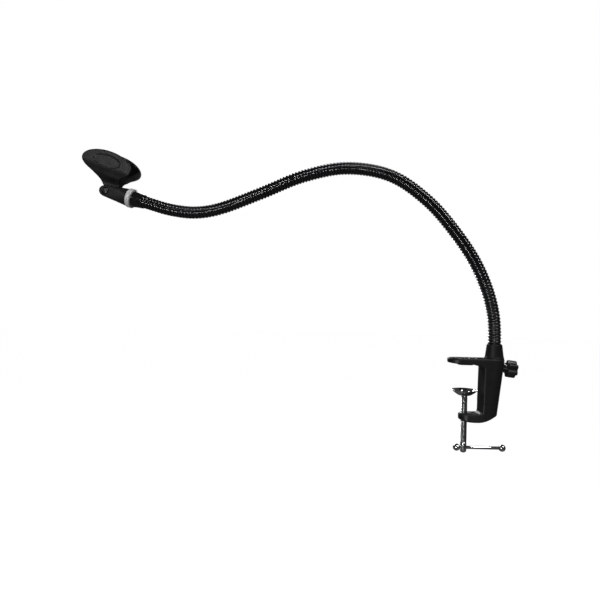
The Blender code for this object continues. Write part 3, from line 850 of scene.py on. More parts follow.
@dataclass
class DeskClamp:
    """The C-shaped casting and the rubber pad under its jaw."""

    half_width: float = 13.25 * MM
    jaw_tip: float = -22.0 * MM
    jaw_top: float = 8.5 * MM
    jaw_flat: float = 1.3 * MM
    throat_back: float = 20.6 * MM
    back_top: float = 48.7 * MM
    back_slope: float = radians(6.8)
    arm_top: float = -60.0 * MM
    arm_bottom: float = -70.5 * MM
    arm_nose: float = 4.0 * MM
    arm_nose_radius: float = 11.0 * MM
    heel_centre: tuple[float, float] = (12.5 * MM, -36.5 * MM)
    heel_radius: float = 34.0 * MM
    heel_flat: float = -62.6 * MM
    peg_x: float = 36.2 * MM
    knob_z: float = -3.0 * MM
    knob_x: float = 47.7 * MM
    edge: float = 2.6 * MM
    tip_slope: float = 0.08
    root_slope: float = 0.25
    wall_draft: float = 0.018
    arm_zone: float = -48.0 * MM
    screw_bore: float = 4.35 * MM
    peg_bore: float = 5.35 * MM
    peg_bore_floor: float = -24.3 * MM
    stud_bore: float = 3.4 * MM

    def build_casting(self) -> bpy.types.Object:
        """The casting, with drafted faces, rounded edges and its three bores.

        Returns:
            The piece.
        """
        low = (self.jaw_tip - 2.0 * MM, -self.half_width - 2.0 * MM, self.arm_bottom - 2.0 * MM)
        high = (self.back_top + 2.0 * MM, self.half_width + 2.0 * MM, self.jaw_top + 2.0 * MM)
        solid = Solid("clamp_casting", CASTING, low, high)
        x, y, z = solid.x, solid.y, solid.z
        back = self.back_top - (self.jaw_top - z) * tan(self.back_slope) - self.half_width
        beyond = (x - back).most(0.0) + (self.jaw_tip + self.half_width - x).most(0.0)
        plan = length_of(beyond, y) - self.half_width
        tip_rise = (-6.0 * MM - x).most(0.0) * self.tip_slope - (x - 7.0 * MM).most(0.0) * self.root_slope
        draft = (self.jaw_flat - z) * self.wall_draft
        throat = (x - self.throat_back + draft).kept(self.arm_top - z, 5.6 * MM)
        throat = throat.kept(z - self.jaw_flat - tip_rise, 2.4 * MM)
        body = plan.kept(z - self.jaw_top, self.edge).kept(-throat, self.edge)
        widening = ((x - self.arm_nose) / (17.0 * MM)).within(0.0, 1.0)
        arm_width = self.arm_nose_radius + (self.half_width - self.arm_nose_radius) * widening
        arm = length_of((x - self.arm_nose).least(0.0), y) - arm_width
        body = body.kept(arm.least(self.arm_zone - z), self.edge)
        heel = length_of((x - self.heel_centre[0]).most(0.0), z - self.heel_centre[1]) - self.heel_radius
        heel = heel.joined(self.heel_flat - z, 6.0 * MM)
        toe = ((self.arm_bottom + 0.3 * MM - z) + (1.0 * MM - x) * 0.3) * 0.95
        body = body.kept(heel.kept(toe, 3.0 * MM), self.edge)
        screw_bore = (length_of(x, y) - self.screw_bore).most(z + 45.0 * MM)
        peg_bore = (length_of(x - self.peg_x, y) - self.peg_bore).most(self.peg_bore_floor - z)
        drop = (self.knob_x - x) * tan(self.back_slope)
        stud_bore = (length_of(y, z - self.knob_z - drop) - self.stud_bore).most(self.peg_x - x)
        for bore in (screw_bore, peg_bore, stud_bore):
            body = body.kept(-bore, 0.9 * MM)
        return solid.make(body, Matrix.Identity(4), cell=0.55 * MM)

    def build_pad(self) -> bpy.types.Object:
        """The thin pad, with a rounded edge and shallow ribs across its underside.

        Returns:
            The piece.
        """
        half_x, half_y, corner, thick = 9.0 * MM, 7.5 * MM, 4.0 * MM, 1.0 * MM
        low, high = (-11.0 * MM, -8.5 * MM, -1.0 * MM), (11.0 * MM, 8.5 * MM, 2.0 * MM)
        solid = Solid("jaw_pad_rubber", PAD, low, high)
        x, y, z = solid.x, solid.y, solid.z
        away = length_of((abs(x) - half_x + corner).most(0.0), (abs(y) - half_y + corner).most(0.0))
        rib = ((x * (tau / (2.4 * MM))).cosine() * 0.5 + 0.5) * (0.22 * MM)
        rim = ((away - corner) * -1.0 / (1.2 * MM)).within(0.0, 1.0)
        pad = (away - corner).kept(z - thick, 0.8 * MM).kept(rib * rim - z, 0.6 * MM)
        return solid.make(pad, Matrix.Identity(4), cell=0.3 * MM)

    def build(self) -> None:
        """Builds and places the clamp's pieces."""
        fit(self.build_casting(), "clamp", Slot.CASTING, "clamp_frame")
        fit(self.build_pad(), "clamp", Slot.RUBBER, "jaw_pad")


@dataclass
class ClampScrew:
    """The threaded screw, its pressure disc, and the sliding bar with two balls."""

    radius: float = 4.0 * MM
    pitch: float = 1.25 * MM
    thread_depth: float = 0.7 * MM
    top: float = -39.2 * MM
    thread_end: float = -97.5 * MM
    bottom: float = -109.6 * MM
    ball_z: float = -36.5 * MM
    disc_radius: float = 15.9 * MM
    bar_z: float = -103.3 * MM
    bar_radius: float = 2.0 * MM
    ball_radius: float = 4.4 * MM
    ball_spacing: float = 57.0 * MM

    def build_thread(self) -> bpy.types.Object:
        """The threaded length, as a helical wave on a finely divided cylinder.

        Returns:
            The piece.
        """
        tree = GeometryTree("screw_thread")
        radius = tree.named_input("Radius", value=self.radius)
        pitch = tree.named_input("Pitch", value=self.pitch)
        depth = tree.named_input("Depth", value=self.thread_depth)
        length = tree.named_input("Length", value=self.top - self.thread_end)
        turns = (self.top - self.thread_end) / self.pitch
        tube = tree.add(
            "GeometryNodeMeshCylinder",
            {"Vertices": 40, "Side Segments": int(turns * 8), "Radius": radius, "Depth": length},
            fill_type="NGON",
        )
        position = Signal(tree, tree.add("GeometryNodeInputPosition").outputs[0], True)
        x, y, z = tree.parts(position)
        angle = Signal(tree, tree.add("ShaderNodeMath", {0: y, 1: x}, operation="ARCTAN2").outputs[0])
        root, crest = 0.12, 0.86
        wave = abs((z / pitch - angle / tau + 40.0).fraction() * 2.0 - 1.0).within(root, crest)
        end = length / 2.0
        run_out = ((end - abs(z)) / (pitch * 1.5)).within(0.0, 1.0)
        groove = (crest - wave) / (crest - root) * depth * run_out
        shrink = (radius - groove - (1.0 - run_out) * 0.35 * MM) / radius
        moved = tree.vector(x * shrink, y * shrink, z)
        shaped = tree.add("GeometryNodeSetPosition", {"Geometry": tube.outputs["Mesh"], "Position": moved})
        source = bpy.data.meshes.new("thread_source")
        finish = THREAD_CHROME.material()
        piece = tree.make(
            shaped.outputs[0], "screw_thread_part", source, Finish=finish, Radius=self.radius,
            Pitch=self.pitch, Depth=self.thread_depth, Length=self.top - self.thread_end,
        )
        piece.data.transform(upright(0.0, (self.top + self.thread_end) / 2))
        return piece

    def build_screw(self) -> bpy.types.Object:
        """The thread together with the plain lower end, which has the cross hole.

        Returns:
            The piece.
        """
        plain = self.radius - 0.1 * MM
        outline = [(0.0, self.bottom), (1.6 * MM, self.bottom), (plain - 0.8 * MM, self.bottom + 0.7 * MM)]
        outline += [(plain, self.bottom + 2.4 * MM), (plain, self.thread_end + 0.4 * MM)]
        outline += [(plain - 0.6 * MM, self.thread_end + 1.0 * MM), (0.0, self.thread_end + 1.0 * MM)]
        shank = turned("screw_shank_part", rounded(outline, 1.0 * MM, 5), THREAD_CHROME, upright(0.0, 0.0))
        across = upright(0.0, self.bar_z) @ Matrix.Rotation(radians(90.0), 4, "Y")
        hole, reach = self.bar_radius + 0.3 * MM, 8.0 * MM
        rim = plain - 0.3 * MM
        profile = [(0.0, -reach), (hole + 2.0 * MM, -reach), (hole, -rim), (hole, rim)]
        profile += [(hole + 2.0 * MM, reach), (0.0, reach)]
        cut(shank, turned("hole_cutter", profile, THREAD_CHROME, across, sides=40))
        return merged("clamp_screw_threaded", self.build_thread(), shank)

    def build_disc(self) -> bpy.types.Object:
        """The dished disc, with its boss and socket.

        Returns:
            The piece.
        """
        rim, edge = 5.5 * MM, self.disc_radius
        outline = [(0.0, 4.9 * MM), (3.2 * MM, 4.8 * MM), (5.0 * MM, 3.0 * MM), (7.2 * MM, -0.3 * MM)]
        outline += [(8.8 * MM, 0.4 * MM), (12.4 * MM, 2.9 * MM), (edge - 1.3 * MM, rim - 0.3 * MM)]
        outline += [(edge - 0.5 * MM, rim), (edge, rim - 0.6 * MM), (12.6 * MM, 1.9 * MM)]
        outline += [(9.2 * MM, -0.5 * MM), (7.0 * MM, -1.7 * MM), (2.8 * MM, -1.7 * MM)]
        outline += [(3.5 * MM, 0.0), (2.4 * MM, 2.5 * MM), (0.0, 3.5 * MM)]
        place = upright(0.0, self.ball_z)
        return turned("pressure_disc_dished", rounded(outline, 1.1 * MM, 4), CHROME, place, sides=96)

    def build_bar(self) -> list[bpy.types.Object]:
        """The sliding bar and its two balls.

        Returns:
            The bar, the left ball and the right ball.
        """
        left = -(self.radius + self.ball_radius)
        along = Matrix.Rotation(radians(90.0), 4, "Y")
        half = self.ball_spacing / 2 - 1.0 * MM
        outline = [(0.0, -half), (self.bar_radius, -half), (self.bar_radius, half), (0.0, half)]
        middle = upright(left + self.ball_spacing / 2, self.bar_z) @ along
        pieces = [turned("sliding_bar", rounded(outline, 0.3 * MM), CHROME, middle, sides=40)]
        for side, x in (("left", left), ("right", left + self.ball_spacing)):
            facing = Matrix.Rotation(radians(90.0 if side == "left" else -90.0), 4, "Y")
            mouth = asin(2.3 * MM / self.ball_radius)
            ball = [(0.0, -self.ball_radius)]
            for i in range(1, 33):
                angle = (pi - mouth) * i / 32
                ball.append((self.ball_radius * sin(angle), -self.ball_radius * cos(angle)))
            ball += [(2.3 * MM, 1.0 * MM), (0.0, 1.0 * MM)]
            place = upright(x, self.bar_z) @ facing
            pieces.append(turned(f"bar_ball_{side}", ball, CHROME, place, sides=56))
        return pieces

    def build(self) -> None:
        """Builds and places the screw's pieces."""
        carry("screw_ball_stud", CHROME)
        fit(self.build_screw(), "spindle", Slot.CHROME, "clamp_screw")
        fit(self.build_disc(), "disc", Slot.CHROME, "pressure_disc")
        nodes = ("tommy_bar", "tommy_ball_left", "tommy_ball_right")
        for piece, node in zip(self.build_bar(), nodes):
            fit(piece, "cross_bar", Slot.CHROME, node)


# ----------------------------------------------------------------- neck lock


@dataclass
class NeckLock:
    """The lobed knob with its steel insert, and the stud that holds the peg."""

    point: tuple[float, float, float] = (47.7 * MM, 0.0, -3.0 * MM)
    slope: float = radians(6.8)
    radius: float = 10.75 * MM
    thickness: float = 12.0 * MM
    standoff: float = 3.6 * MM
    lobes: int = 6
    lobe_depth: float = 0.12
    dish_radius: float = 6.6 * MM
    dish_depth: float = 0.9 * MM
    boss_radius: float = 3.0 * MM
    pocket_radius: float = 4.55 * MM
    pocket_depth: float = 7.6 * MM
    peg_x: float = 36.2 * MM

    def place(self, distance: float) -> Matrix:
        """The knob's frame, its Z axis out of the sloping back.

        Args:
            distance: How far from the back.

        Returns:
            The placement.
        """
        out = Vector((cos(self.slope), 0.0, -sin(self.slope)))
        side = Vector((0.0, 1.0, 0.0))
        return frame_at(Vector(self.point) + out * distance, side.cross(out), side, out)

    def build_knob(self) -> bpy.types.Object:
        """The knob: six soft lobes, a rounded rim, and a shallow dish with a boss on its outer face.

        Returns:
            The piece.
        """
        reach = self.radius + 1.5 * MM
        solid = Solid("lock_knob_moulded", KNOB, (-reach, -reach, -1.5 * MM), (reach, reach, 13.5 * MM))
        x, y, z = solid.x, solid.y, solid.z
        tree = solid.tree
        angle = Signal(tree, tree.add("ShaderNodeMath", {0: y, 1: x}, operation="ARCTAN2").outputs[0])
        far = length_of(x, y)
        lobe = (angle * float(self.lobes)).cosine() * self.lobe_depth + (1.0 - self.lobe_depth)
        belly = 1.0 - ((z - self.thickness * 0.55) / self.thickness) ** 2.0 * 0.06
        outline = (far - lobe * belly * self.radius) * 0.93
        dish = ((far / self.dish_radius).least(1.0) ** 2.0 * -1.0 + 1.0) * self.dish_depth
        boss = far - self.boss_radius
        face = (z - self.thickness + dish).least(boss.kept(z - self.thickness + 0.2 * MM, 1.2 * MM))
        knob = outline.kept(face, 2.0 * MM).kept(-z, 1.6 * MM)
        pocket = (far - self.pocket_radius).most(z - self.pocket_depth)
        knob = knob.kept(-pocket, 0.5 * MM)
        return solid.make(knob, self.place(self.standoff), cell=0.3 * MM)

    def build(self) -> None:
        """Builds and places the lock's pieces."""
        fit(self.build_knob(), "knob", Slot.PLASTIC, "lock_knob")
        outline = [(3.25 * MM, -1.6 * MM), (3.7 * MM, -1.6 * MM), (4.4 * MM, -0.9 * MM)]
        outline += [(4.4 * MM, 7.3 * MM), (3.25 * MM, 7.3 * MM)]
        insert = turned("lock_insert_turned", outline, STUD_STEEL, self.place(self.standoff), sides=48)
        fit(insert, "knob", Slot.STEEL, "lock_insert")
        tip = -(self.point[0] - self.peg_x - 3.9 * MM) / cos(self.slope)
        head = self.standoff + 7.0 * MM
        outline = [(0.0, tip), (2.2 * MM, tip), (2.2 * MM, tip + 1.4 * MM), (2.9 * MM, tip + 2.2 * MM)]
        for i in range(int((head - tip - 3.4 * MM) / MM)):
            height = tip + 2.6 * MM + i * MM
            outline += [(2.55 * MM, height), (3.0 * MM, height + 0.45 * MM)]
        outline += [(2.9 * MM, head - 0.5 * MM), (2.4 * MM, head), (0.0, head)]
        stud = turned("lock_stud_threaded", outline, STUD_STEEL, self.place(0.0), sides=40)
        fit(stud, "lock_screw", Slot.STEEL, "lock_stud")


# ----------------------------------------------------------------- neck root


@dataclass
class NeckRoot:
    """The peg in the clamp's bore and the conical ferrule above it."""

    x: float = 36.2 * MM
    base: float = 8.8 * MM
    top: float = 26.3 * MM

    def build(self) -> None:
        """Builds and places the ferrule, and keeps the peg."""
        carry("mounting_peg", ZINC)
        low, high = self.base, self.top
        outline = [(5.3 * MM, low), (11.9 * MM, low), (11.8 * MM, low + 0.7 * MM)]
        outline += [(11.2 * MM, low + 2.0 * MM), (9.3 * MM, high - 0.9 * MM), (8.9 * MM, high)]
        outline += [(7.0 * MM, high), (7.0 * MM, high - 8.0 * MM), (5.3 * MM, high - 9.0 * MM)]
        ferrule = turned("ferrule_cone", rounded(outline, 0.8 * MM, 4), FERRULE_COAT, upright(self.x, 0.0))
        fit(ferrule, "neck_1", Slot.CASTING, "base_ferrule")


# ------------------------------------------------------------- neck's far end


@dataclass(frozen=True)
class NeckEndFrame:
    """Where the neck ends: the clip's pivot, and the direction from the neck to it."""

    pivot: tuple[float, float, float] = (-457.1 * MM, 20.4 * MM, 209.1 * MM)
    yaw: float = radians(12.0)
    pitch: float = radians(15.2)

    def axes(self, pitch: float) -> tuple[Vector, Vector, Vector]:
        """The axes of the neck's end.

        Args:
            pitch: How far it points up.

        Returns:
            The axes up across the end, level across it, and along it.
        """
        along = Vector((-cos(pitch) * cos(self.yaw), cos(pitch) * sin(self.yaw), sin(pitch)))
        up = Vector((sin(pitch) * cos(self.yaw), -sin(pitch) * sin(self.yaw), cos(pitch)))
        return up, along.cross(up), along

    def place(self, pitch: Optional[float] = None) -> Matrix:
        """The frame at the pivot, with X up, Y level and Z along the neck's end.

        Args:
            pitch: How far Z points up, or None for the neck's own pitch.

        Returns:
            The placement.
        """
        up, level, along = self.axes(self.pitch if pitch is None else pitch)
        return frame_at(Vector(self.pivot), up, level, along)


END = NeckEndFrame()


@dataclass
class Gooseneck:
    """The coiled neck: a round wire and a smaller oval wire wound side by side on a curved route."""

    route: tuple[tuple[float, float, float], ...] = (
        (36.2, 0.0, 8.0),
        (36.2, 0.0, 26.3),
        (34.4, 0.0, 59.0),
        (26.5, 0.0, 91.0),
        (9.5, 0.0, 128.5),
        (-18.0, 0.0, 167.5),
        (-52.0, 0.0, 204.0),
        (-98.0, 0.0, 233.6),
        (-154.0, 0.0, 241.8),
        (-208.0, 0.0, 230.3),
        (-261.0, 0.0, 207.7),
        (-314.0, 0.5, 187.0),
        (-342.5, 2.5, 182.6),
        (-374.0, 6.5, 186.0),
    )
    sleeve_from_pivot: float = -52.3 * MM
    start: float = 18.3 * MM
    lengths: int = 11
    pitch: float = 4.0 * MM
    wire: float = 1.75 * MM
    radius: float = 8.0 * MM
    into_ferrule: float = 5.0 * MM
    into_sleeve: float = 4.0 * MM
    turn_steps: float = 26.0
    wire_sides: int = 12
    second_depth: float = 1.15
    second_scale: tuple[float, float, float] = (0.5, 0.6, 1.0)

    def __post_init__(self) -> None:
        """Measures the centre line."""
        along = END.axes(END.pitch)[2]
        stop = Vector(END.pivot) + along * self.sleeve_from_pivot
        stations = [Vector(point) * MM for point in self.route] + [stop]
        before, after = stations[0] * 2 - stations[1], stop + along * 30.0 * MM
        ahead = stations[2:] + [after]
        self.points: list[Vector] = []
        for a, b, c, d in zip([before] + stations[:-2], stations[:-1], stations[1:], ahead):
            self.points += [self.between(a, b, c, d, i / 24) for i in range(24)]
        self.points.append(stop)
        self.total = sum((b - a).length for a, b in zip(self.points, self.points[1:]))
        self.points += [stop + along * (2.0 * MM * (i + 1)) for i in range(4)]

    @staticmethod
    def between(a: Vector, b: Vector, c: Vector, d: Vector, share: float) -> Vector:
        """A point between b and c on a smooth curve through four points, whatever their spacing.

        Args:
            a: The point before.
            b: The span's first point.
            c: The span's last point.
            d: The point after.
            share: How far along the span, from 0 to 1.

        Returns:
            The point.
        """
        knots = [0.0]
        for lower, upper in ((a, b), (b, c), (c, d)):
            knots.append(knots[-1] + sqrt((upper - lower).length))
        t = knots[1] + (knots[2] - knots[1]) * share

        def blend(p: Vector, q: Vector, first: float, last: float) -> Vector:
            """The point at t on the line from p at first to q at last."""
            return p * ((last - t) / (last - first)) + q * ((t - first) / (last - first))

        near, middle = blend(a, b, knots[0], knots[1]), blend(b, c, knots[1], knots[2])
        far = blend(c, d, knots[2], knots[3])
        first, last = blend(near, middle, knots[0], knots[2]), blend(middle, far, knots[1], knots[3])
        return blend(first, last, knots[1], knots[2])

    def at(self, length: float) -> Vector:
        """The point at a length along the centre line.

        Args:
            length: The length from the line's start.

        Returns:
            The point.
        """
        for lower, upper in zip(self.points, self.points[1:]):
            step = (upper - lower).length
            if length <= step:
                return lower.lerp(upper, length / step)
            length -= step
        return self.points[-1]

    def centre_line(self) -> bpy.types.Mesh:
        """The centre line as a mesh of edges.

        Returns:
            The mesh.
        """
        mesh = bpy.data.meshes.new("neck_centre_line")
        edges = [(i, i + 1) for i in range(len(self.points) - 1)]
        mesh.from_pydata(self.points, edges, [])
        return mesh

    def tree(self) -> tuple[GeometryTree, bpy.types.NodeSocket]:
        """The winding: a round wire, a smaller oval wire between its turns, and a core.

        Returns:
            The tree and the geometry that it makes.
        """
        tree = GeometryTree("neck_winding")
        start = tree.named_input("Start", value=0.0)
        stop = tree.named_input("Stop", value=0.1)
        pitch = tree.named_input("Pitch", value=self.pitch)
        wire = tree.named_input("Wire Radius", value=self.wire)
        radius = tree.named_input("Radius", value=self.radius)
        line = tree.add("GeometryNodeMeshToCurve", {"Mesh": tree.host})
        ends = {"Curve": line.outputs[0], "Start_001": start, "End_001": stop}
        piece = tree.add("GeometryNodeTrimCurve", ends, mode="LENGTH")
        step = pitch / self.turn_steps
        fine = tree.add(
            "GeometryNodeResampleCurve", {"Curve": piece.outputs[0], "Length": step}, mode="LENGTH"
        )
        tangent = Signal(tree, tree.add("GeometryNodeInputTangent").outputs[0], True)
        level = tree.vector(0.0, 1.0, 0.0)
        across = tangent.cross(level).unit()
        square = tangent.cross(across)
        run = Signal(tree, tree.add("GeometryNodeSplineParameter").outputs["Length"]) + start
        strands = []
        for turn, centre in ((0.0, radius - wire), (0.5, radius - wire * self.second_depth)):
            phase = (run / pitch + turn) * tau
            outward = across * phase.cosine() + square * phase.sine()
            kept = tree.add(
                "GeometryNodeCaptureAttribute", {"Geometry": fine.outputs[0]}, domain="POINT"
            )
            kept.capture_items.new("VECTOR", "outward")
            tree.tree.links.new(outward.socket, kept.inputs[1])
            radial = Signal(tree, kept.outputs[1], True)
            wound = tree.add(
                "GeometryNodeSetPosition", {"Geometry": kept.outputs[0], "Offset": radial * centre}
            )
            turned_out = tree.add(
                "GeometryNodeSetCurveNormal", {"Curve": wound.outputs[0], "Normal": radial}, mode="FREE"
            )
            circle = {"Resolution": self.wire_sides, "Radius": wire}
            ring = tree.add("GeometryNodeCurvePrimitiveCircle", circle)
            profile = ring.outputs[0]
            if turn:
                flat = tree.add(
                    "GeometryNodeTransform", {"Geometry": profile, "Scale": self.second_scale}
                )
                profile = flat.outputs[0]
            strand = tree.add(
                "GeometryNodeCurveToMesh",
                {"Curve": turned_out.outputs[0], "Profile Curve": profile, "Fill Caps": True},
            )
            strands.append(strand.outputs[0])
        coarse = tree.add(
            "GeometryNodeResampleCurve", {"Curve": piece.outputs[0], "Length": pitch}, mode="LENGTH"
        )
        ring = tree.add("GeometryNodeCurvePrimitiveCircle", {"Resolution": 20, "Radius": radius - wire})
        core = tree.add(
            "GeometryNodeCurveToMesh",
            {"Curve": coarse.outputs[0], "Profile Curve": ring.outputs[0], "Fill Caps": True},
        )
        joined = tree.add("GeometryNodeJoinGeometry")
        for socket in (*strands, core.outputs[0]):
            tree.tree.links.new(socket, joined.inputs[0])
        smooth = tree.add("GeometryNodeSetShadeSmooth", {"Geometry": joined.outputs[0]})
        return tree, smooth.outputs[0]

    def build(self) -> None:
        """Builds the winding in pieces, each spanning one joint of the neck."""
        spacing = (self.total - self.start) / (self.lengths + 0.3)
        joints = [self.start + spacing * (i + 1.0) for i in range(self.lengths - 1)]
        stops = [self.start, *joints, self.total]
        middles = [(low + high) / 2 for low, high in zip(stops, stops[1:])]
        tree, geometry = self.tree()
        source = self.centre_line()
        for i in range(self.lengths - 1):
            low = middles[i] if i else self.start - self.into_ferrule
            high = middles[i + 1] if i < self.lengths - 2 else self.total + self.into_sleeve
            piece = tree.make(
                geometry, f"neck_winding_{i + 1}", source, Finish=COIL.material(), Start=low, Stop=high,
                Pitch=self.pitch, Wire_Radius=self.wire, Radius=self.radius,
            )
            tuple(self.at(middles[i]))
            tuple(self.at(middles[i + 1]))
            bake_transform(piece)
            nodes = [f"gooseneck_{i + 1}"]
            if i == self.lengths - 2:
                nodes.append(f"gooseneck_{i + 2}")
            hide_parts(*nodes)


@dataclass
class NeckEnd:
    """The glossy sleeve on the neck's end and the chrome fitting with its collar."""

    sleeve_start: float = -52.0 * MM
    collar: tuple[float, float] = (-35.8 * MM, -30.3 * MM)
    collar_radius: float = 12.2 * MM
    stud: float = 4.7 * MM

    def build(self) -> None:
        """Builds and places both pieces."""
        low, high = self.collar
        start = self.sleeve_start
        outline = [(5.0 * MM, start + 0.6 * MM), (8.1 * MM, start), (8.7 * MM, start + 0.6 * MM)]
        outline += [(8.8 * MM, start + 3.0 * MM), (9.2 * MM, start + 8.0 * MM), (9.9 * MM, low - 4.0 * MM)]
        outline += [(10.1 * MM, low - 0.9 * MM), (9.7 * MM, low - 0.3 * MM), (5.0 * MM, low - 0.3 * MM)]
        sleeve = turned("sleeve_gloss", rounded(outline, 0.7 * MM, 4), SLEEVE, END.place())
        fit(sleeve, "neck_11", Slot.GLOSS, "top_ferrule")
        wide = self.collar_radius
        outline = [(0.0, low - 4.5 * MM), (self.stud, low - 4.5 * MM), (self.stud, low - 0.02 * MM)]
        outline += [(wide - 0.3 * MM, low), (wide, low + 0.5 * MM), (wide, low + 1.6 * MM)]
        outline += [(wide - 0.35 * MM, low + 1.85 * MM), (wide - 0.35 * MM, high - 1.85 * MM)]
        outline += [(wide, high - 1.6 * MM), (wide, high - 0.5 * MM), (wide - 0.3 * MM, high)]
        outline += [(self.stud, high), (self.stud, -18.9 * MM), (self.stud - 0.5 * MM, -18.4 * MM)]
        outline += [(0.0, -18.4 * MM)]
        fitting = turned("collar_fitting", rounded(outline, 0.35 * MM), SATIN, END.place(), sides=96)
        fit(fitting, "neck_11", Slot.CHROME, "thread_fitting")


# ------------------------------------------------------------ microphone clip


@dataclass
class ClipBase:
    """The clip's lower half: a tapering fork with a brass insert and the pivot's fasteners."""

    start: float = -30.0 * MM
    radius: float = 11.4 * MM
    end_radius: float = 7.35 * MM
    end_width: float = 9.45 * MM
    end_stretch: float = 1.33
    slot_half: float = 4.6 * MM
    slot_root: float = -16.9 * MM
    seat: float = 8.0 * MM
    seat_radius: float = 4.65 * MM
    insert_radius: float = 7.3 * MM
    insert_top: float = -17.6 * MM
    pin_radius: float = 2.2 * MM

    def build_fork(self) -> bpy.types.Object:
        """The fork, round at the collar and flatter at its rounded tip.

        Returns:
            The piece.
        """
        reach = 12.6 * MM
        low, high = (-reach, -reach, self.start - 1.5 * MM), (reach, reach, 10.0 * MM)
        solid = Solid("clip_fork", BODY, low, high)
        x, y, z = solid.x, solid.y, solid.z
        share = ((z - self.start) / -self.start).within(0.0, 1.0)
        height = self.radius + (self.end_radius - self.radius) * share
        width = self.radius + (self.end_width - self.radius) * share
        power = 2.0 + share * share * 7.0
        tall = length_of(x, z.most(0.0) / self.end_stretch) / height
        oval = (tall ** power + (abs(y) / width) ** power) ** (1.0 / power)
        fork = ((oval - 1.0) * height).kept(self.start - z, 1.6 * MM)
        slot = (abs(y) - self.slot_half).kept(self.slot_root - z, 1.6 * MM)
        round_about = length_of(x, z)
        seats = (round_about - self.seat_radius).most(self.seat - abs(y))
        insert = (length_of(x, y) - self.insert_radius).most(z - self.insert_top)
        pin = round_about - self.pin_radius
        for hollow in (slot, seats, insert, pin):
            fork = fork.kept(-hollow, 0.9 * MM)
        return solid.make(fork, END.place(), cell=0.3 * MM)

    def build_screw(self) -> bpy.types.Object:
        """The pivot screw: a domed head with a fluted rim and a cross recess.

        Returns:
            The piece.
        """
        across = END.place() @ Matrix.Rotation(radians(90.0), 4, "X")
        under, head = self.seat + 0.3 * MM, 4.3 * MM
        outline = [(0.0, -12.0 * MM), (1.6 * MM, -12.0 * MM), (2.0 * MM, -11.6 * MM), (2.0 * MM, under)]
        outline += [(head, under), (head, under + 1.2 * MM), (head - 0.5 * MM, under + 1.9 * MM)]
        outline += [(2.6 * MM, under + 2.5 * MM), (0.0, under + 2.6 * MM)]
        outline = rounded(outline, 0.4 * MM)
        screw = turned("pivot_screw_head", outline, GUNMETAL, Matrix.Identity(4), sides=96)
        for vertex in screw.data.vertices:
            far = Vector(vertex.co[:2]).length
            if far > 3.2 * MM:
                turn = Vector((1.0, 0.0)).angle_signed(Vector(vertex.co[:2]))
                flute = 1.0 - 0.035 * (0.5 + 0.5 * cos(24.0 * turn))
                vertex.co.x *= flute
                vertex.co.y *= flute
        for angle in (45.0, 135.0):
            bm = bmesh.new()
            bmesh.ops.create_cube(bm, size=1.0)
            bmesh.ops.scale(bm, vec=(4.4 * MM, 0.9 * MM, 2.4 * MM), verts=bm.verts)
            top = [vertex for vertex in bm.verts if vertex.co.z < 0.0]
            bmesh.ops.scale(bm, vec=(0.5, 0.7, 1.0), verts=top)
            turn = upright(0.0, under + 2.6 * MM) @ Matrix.Rotation(radians(angle), 4, "Z")
            cut(screw, mesh_from("recess_cutter", bm, GUNMETAL, turn))
        screw.data.transform(across)
        return screw

    def build(self) -> None:
        """Builds and places the clip's lower half."""
        fit(self.build_fork(), "clip_base", Slot.PLASTIC, "clip_base")
        fit(self.build_screw(), "clip_base", Slot.STEEL, "pivot_screw")
        carry("thread_insert", BRASS)
        carry("pivot_washer", ZINC)
        carry("pivot_nut", ZINC)


